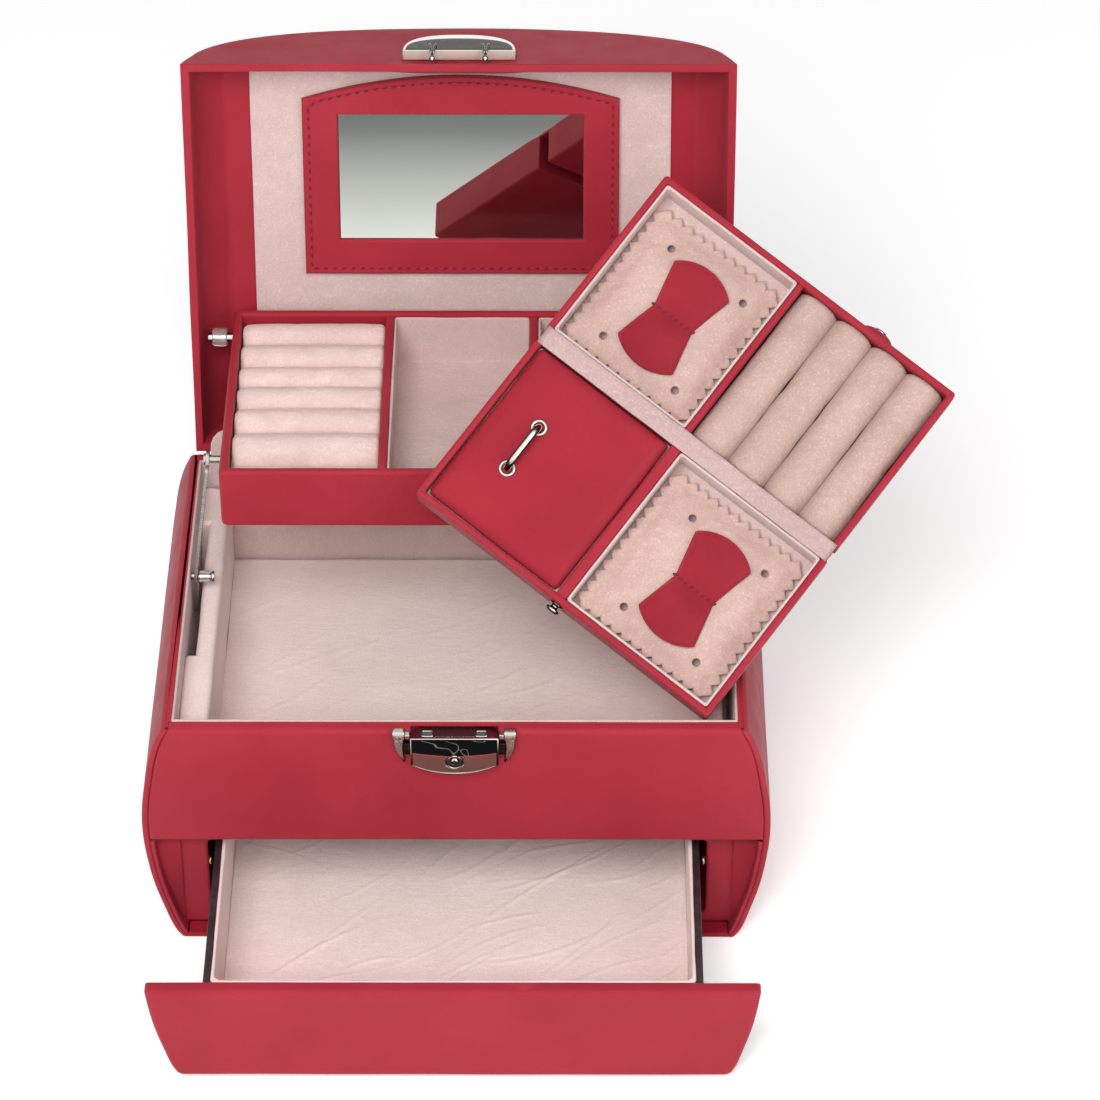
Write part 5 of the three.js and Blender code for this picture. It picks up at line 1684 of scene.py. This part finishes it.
def build_case_rolls():
    rolls = case_box("case_lid_rolls")
    count = 4
    pitch = (rolls.x1 - rolls.x0) / count
    for i in range(count):
        radius = pitch / 2 + 0.25 * MM
        shape = roll_shape(rolls.y1 - rolls.y0, radius, rolls.z1 - rolls.z0 - radius, 10 + i)
        shape = stuffed(shape, 1.8 * MM, 0.7 * MM, lambda p, r=radius: p.z < -1.6 * r, slack=0.02)
        place = CASE @ Matrix.Translation((rolls.x0 + pitch * (i + 0.5), rolls.y0, rolls.z1)) @ placement(ALONG_Y, -ALONG_X, UP)
        piece(f"case_roll_{i + 1}", shape, "case_lid", ROLL_SUEDE, place, "case_lid_rolls" if i == 0 else ())


def build_fastener():
    stud, tab = case_box("case_snap_stud"), case_box("case_clasp_tab")
    length = stud.y1 - stud.y0
    profile = [(0, 1.2 * MM), (0.4 * MM, 2.4 * MM), (1.0 * MM, 3.2 * MM), (1.9 * MM, 3.1 * MM), (2.2 * MM, 1.8 * MM),
               (length - 0.9 * MM, 1.6 * MM), (length - 0.6 * MM, 3.0 * MM), (length, 3.1 * MM)]
    piece("case_stud", lathe(profile, Vector((stud.centre.x, stud.y0, stud.centre.z)), (0, 1, 0), 28), "case_base",
          CHROME, CASE, "case_snap_stud")
    root = tab.y0 + 0.2 * MM
    path = catmull([(0, root, tab.z1 - 1.2 * MM), (0, root + 2.2 * MM, tab.z1 - 1.4 * MM), (0, root + 3.8 * MM, tab.z0 - 1.5 * MM),
                    (0, root + 3.6 * MM, tab.z0 - 5.5 * MM)], 6)
    left, right = [], []
    for i, p in enumerate(path):
        ahead = (path[min(i + 1, len(path) - 1)] - path[max(i - 1, 0)]).normalized()
        across = ALONG_X.cross(ahead) * 0.85 * MM
        left.append(((p + across).y, (p + across).z))
        right.append(((p - across).y, (p - across).z))
    middle, half = tab.centre.x, (tab.x1 - tab.x0) / 2 + 1 * MM

    def hug(p):
        share = min(1.0, abs(p.x - middle) / half)
        p.y = root + (p.y - root) * (0.2 + 0.62 * math.sqrt(max(0.0, 1 - share**2)))
        p.z -= 1.2 * MM * share**3
        return p

    strap = warped(extruded(left + right[::-1], middle - half, middle + half, 0.8 * MM, chamfer=0.35 * MM), hug)
    piece("case_tab", strap, "case_lid", RED_LEATHER, CASE, "case_clasp_tab", ripple=(0.1 * MM, 0.01, 46))
    cap = [(0, 2.9 * MM), (0.3 * MM, 3.1 * MM), (0.8 * MM, 2.9 * MM), (1.1 * MM, 2.2 * MM), (1.0 * MM, 1.2 * MM)]
    centre = Vector((tab.centre.x, root + 3.1 * MM, tab.z0 - 3.0 * MM))
    piece("case_tab_snap", lathe(cap, centre, (0, 1, 0), 28), "case_lid", CHROME, CASE)


LEVER_CHROME = metal("chrome_lever", (0.80, 0.74, 0.66), (0.34, 0.20, 0.18), roughness=0.14, contrast=0.9, highlight_band=0.2)
# painted reflection: chrome coloured dark red for the lock's top
PAINTED_RED_REFLECTION = metal("chrome_top_painted_reflection", (0.10, 0.012, 0.020), (0.04, 0.008, 0.010), roughness=0.3, contrast=0.2)
# painted highlight: a bright red line along the bevel of the lock's face
RED_BEVEL_HIGHLIGHT = metal("chrome_line_painted_highlight", (0.62, 0.08, 0.11), (0.3, 0.03, 0.05), roughness=0.2, contrast=0.2)
# painted highlight: near-white chrome for the catch plate's rim
CATCH_HIGHLIGHT = metal("chrome_plate_painted_highlight", (0.98, 0.96, 0.92), (0.8, 0.76, 0.70), roughness=0.35, contrast=0.05)
# painted dark: near-black chrome, a painted reflection on the catch face and painted shade on the lever shafts
PAINTED_DARK_CHROME = metal("chrome_face_painted_dark", (0.055, 0.045, 0.04), (0.42, 0.38, 0.34), roughness=0.16, contrast=0.3)
# painted shade: dark grey for the inside of the lock top's slots
SLOT_SHADE = metal("chrome_slot_painted_shade", (0.16, 0.17, 0.19), (0.08, 0.085, 0.09), roughness=0.4, contrast=0.2)
# painted highlight: pale chrome for the shelf under the catch plate
CATCH_EDGE_HIGHLIGHT = metal("chrome_edge_painted_highlight", (0.86, 0.80, 0.70), (0.6, 0.54, 0.46), roughness=0.5, contrast=0.15)

build_body()
build_linings()
build_hinge_strip()
build_lock()
build_lid()
build_tray()
build_arms()
build_drawer()
build_case()


# ---------------------------------------------------------------- floor, light and camera
def build_reflector():
    """A grey card only the mirror and the metal see: dark above, white at its foot."""
    mesh = bpy.data.meshes.new("grey_card")
    wide, tall = 0.5, 0.16
    mesh.from_pydata([(-wide, 0, 0), (wide, 0, 0), (wide, 0, tall), (-wide, 0, tall)], [], [(0, 1, 2, 3)])
    card = bpy.data.objects.new("grey_card", mesh)
    card.location = (0, -0.75, -0.004)
    bpy.context.scene.collection.objects.link(card)
    for kind in ("camera", "diffuse", "transmission", "volume_scatter", "shadow"):
        setattr(card, "visible_" + kind, False)
    n = Nodes("grey_card")
    split = n.add("ShaderNodeSeparateXYZ")
    n.link(n.place, split.inputs["Vector"])
    height = n.add("ShaderNodeMath", operation="DIVIDE")
    n.link(split.outputs["Z"], height.inputs[0])
    height.inputs[1].default_value = 0.12
    grade = n.ramp(height.outputs["Value"], (0.08, (0.86, 0.86, 0.82)), (0.45, (0.52, 0.53, 0.50)), (0.72, (0.24, 0.245, 0.23)),
                   (0.95, (0.15, 0.155, 0.145)))
    n.link(grade, n.shader.inputs["Emission Color"])
    n.set(Emission_Strength=1.0, Base_Color=(0, 0, 0, 1), Specular_IOR_Level=0.0)
    mesh.materials.append(n.material)


def build_stage():
    mesh = bpy.data.meshes.new("floor")
    reach = 4.0
    mesh.from_pydata([(-reach, -reach, 0), (reach, -reach, 0), (reach, reach, 0), (-reach, reach, 0)], [], [(0, 1, 2, 3)])
    floor = bpy.data.objects.new("floor", mesh)
    floor.location.z = -0.2 * MM
    bpy.context.scene.collection.objects.link(floor)
    n = Nodes("pale_floor")
    n.link(n.ramp(n.noise(2), (0.4, (0.93, 0.93, 0.93)), (0.6, (0.95, 0.95, 0.95))), n.shader.inputs["Base Color"])
    n.set(Roughness=0.9, Specular_IOR_Level=0.1, Emission_Color=(1, 1, 1, 1))
    glow = n.add("ShaderNodeMapRange")
    glow.inputs["To Min"].default_value = 0.08
    glow.inputs["To Max"].default_value = 0.3
    n.link(n.add("ShaderNodeLightPath").outputs["Is Camera Ray"], glow.inputs["Value"])
    n.link(glow.outputs["Result"], n.shader.inputs["Emission Strength"])
    n.bumps((n.noise(40), 0.02, 0.001))
    mesh.materials.append(n.material)
    build_reflector()

    world = bpy.data.worlds.new("studio")
    bpy.context.scene.world = world
    world.use_nodes = True
    background = world.node_tree.nodes["Background"]
    background.inputs["Color"].default_value = (1, 1, 1, 1)
    rays = world.node_tree.nodes.new("ShaderNodeLightPath")
    strength = world.node_tree.nodes.new("ShaderNodeMapRange")
    strength.inputs["From Min"].default_value = 1.0
    strength.inputs["From Max"].default_value = 0.0
    strength.inputs["To Min"].default_value = 0.40
    strength.inputs["To Max"].default_value = 1.0
    world.node_tree.links.new(rays.outputs["Is Diffuse Ray"], strength.inputs["Value"])
    world.node_tree.links.new(strength.outputs["Result"], background.inputs["Strength"])

    for name, place, size, energy, glossy in (
        ("key_light", (-0.25, -1.30, 1.50), 0.9, 32.0, False),
        ("fill_light", (0.9, -1.2, 1.0), 0.9, 6.0, True),
    ):
        data = bpy.data.lights.new(name, "AREA")
        data.size = size
        data.energy = energy
        light = bpy.data.objects.new(name, data)
        light.location = place
        light.visible_glossy = glossy
        light.rotation_euler = (Vector((0, 0, 0.12)) - Vector(place)).to_track_quat("-Z", "Y").to_euler()
        bpy.context.scene.collection.objects.link(light)


def build_camera():
    data = bpy.data.cameras.new("camera")
    data.lens = 143.2
    data.sensor_width = 36
    data.shift_x = -0.0095
    data.shift_y = -0.108
    data.clip_start = 0.05
    camera = bpy.data.objects.new("camera", data)
    camera.location = (0.0463, -1.4621, 1.3380)
    camera.rotation_euler = (math.radians(90 - 37.76), 0, math.radians(0.083))
    bpy.context.scene.collection.objects.link(camera)
    bpy.context.scene.camera = camera


build_stage()
build_camera()
bpy.context.scene.view_settings.view_transform = "Standard"
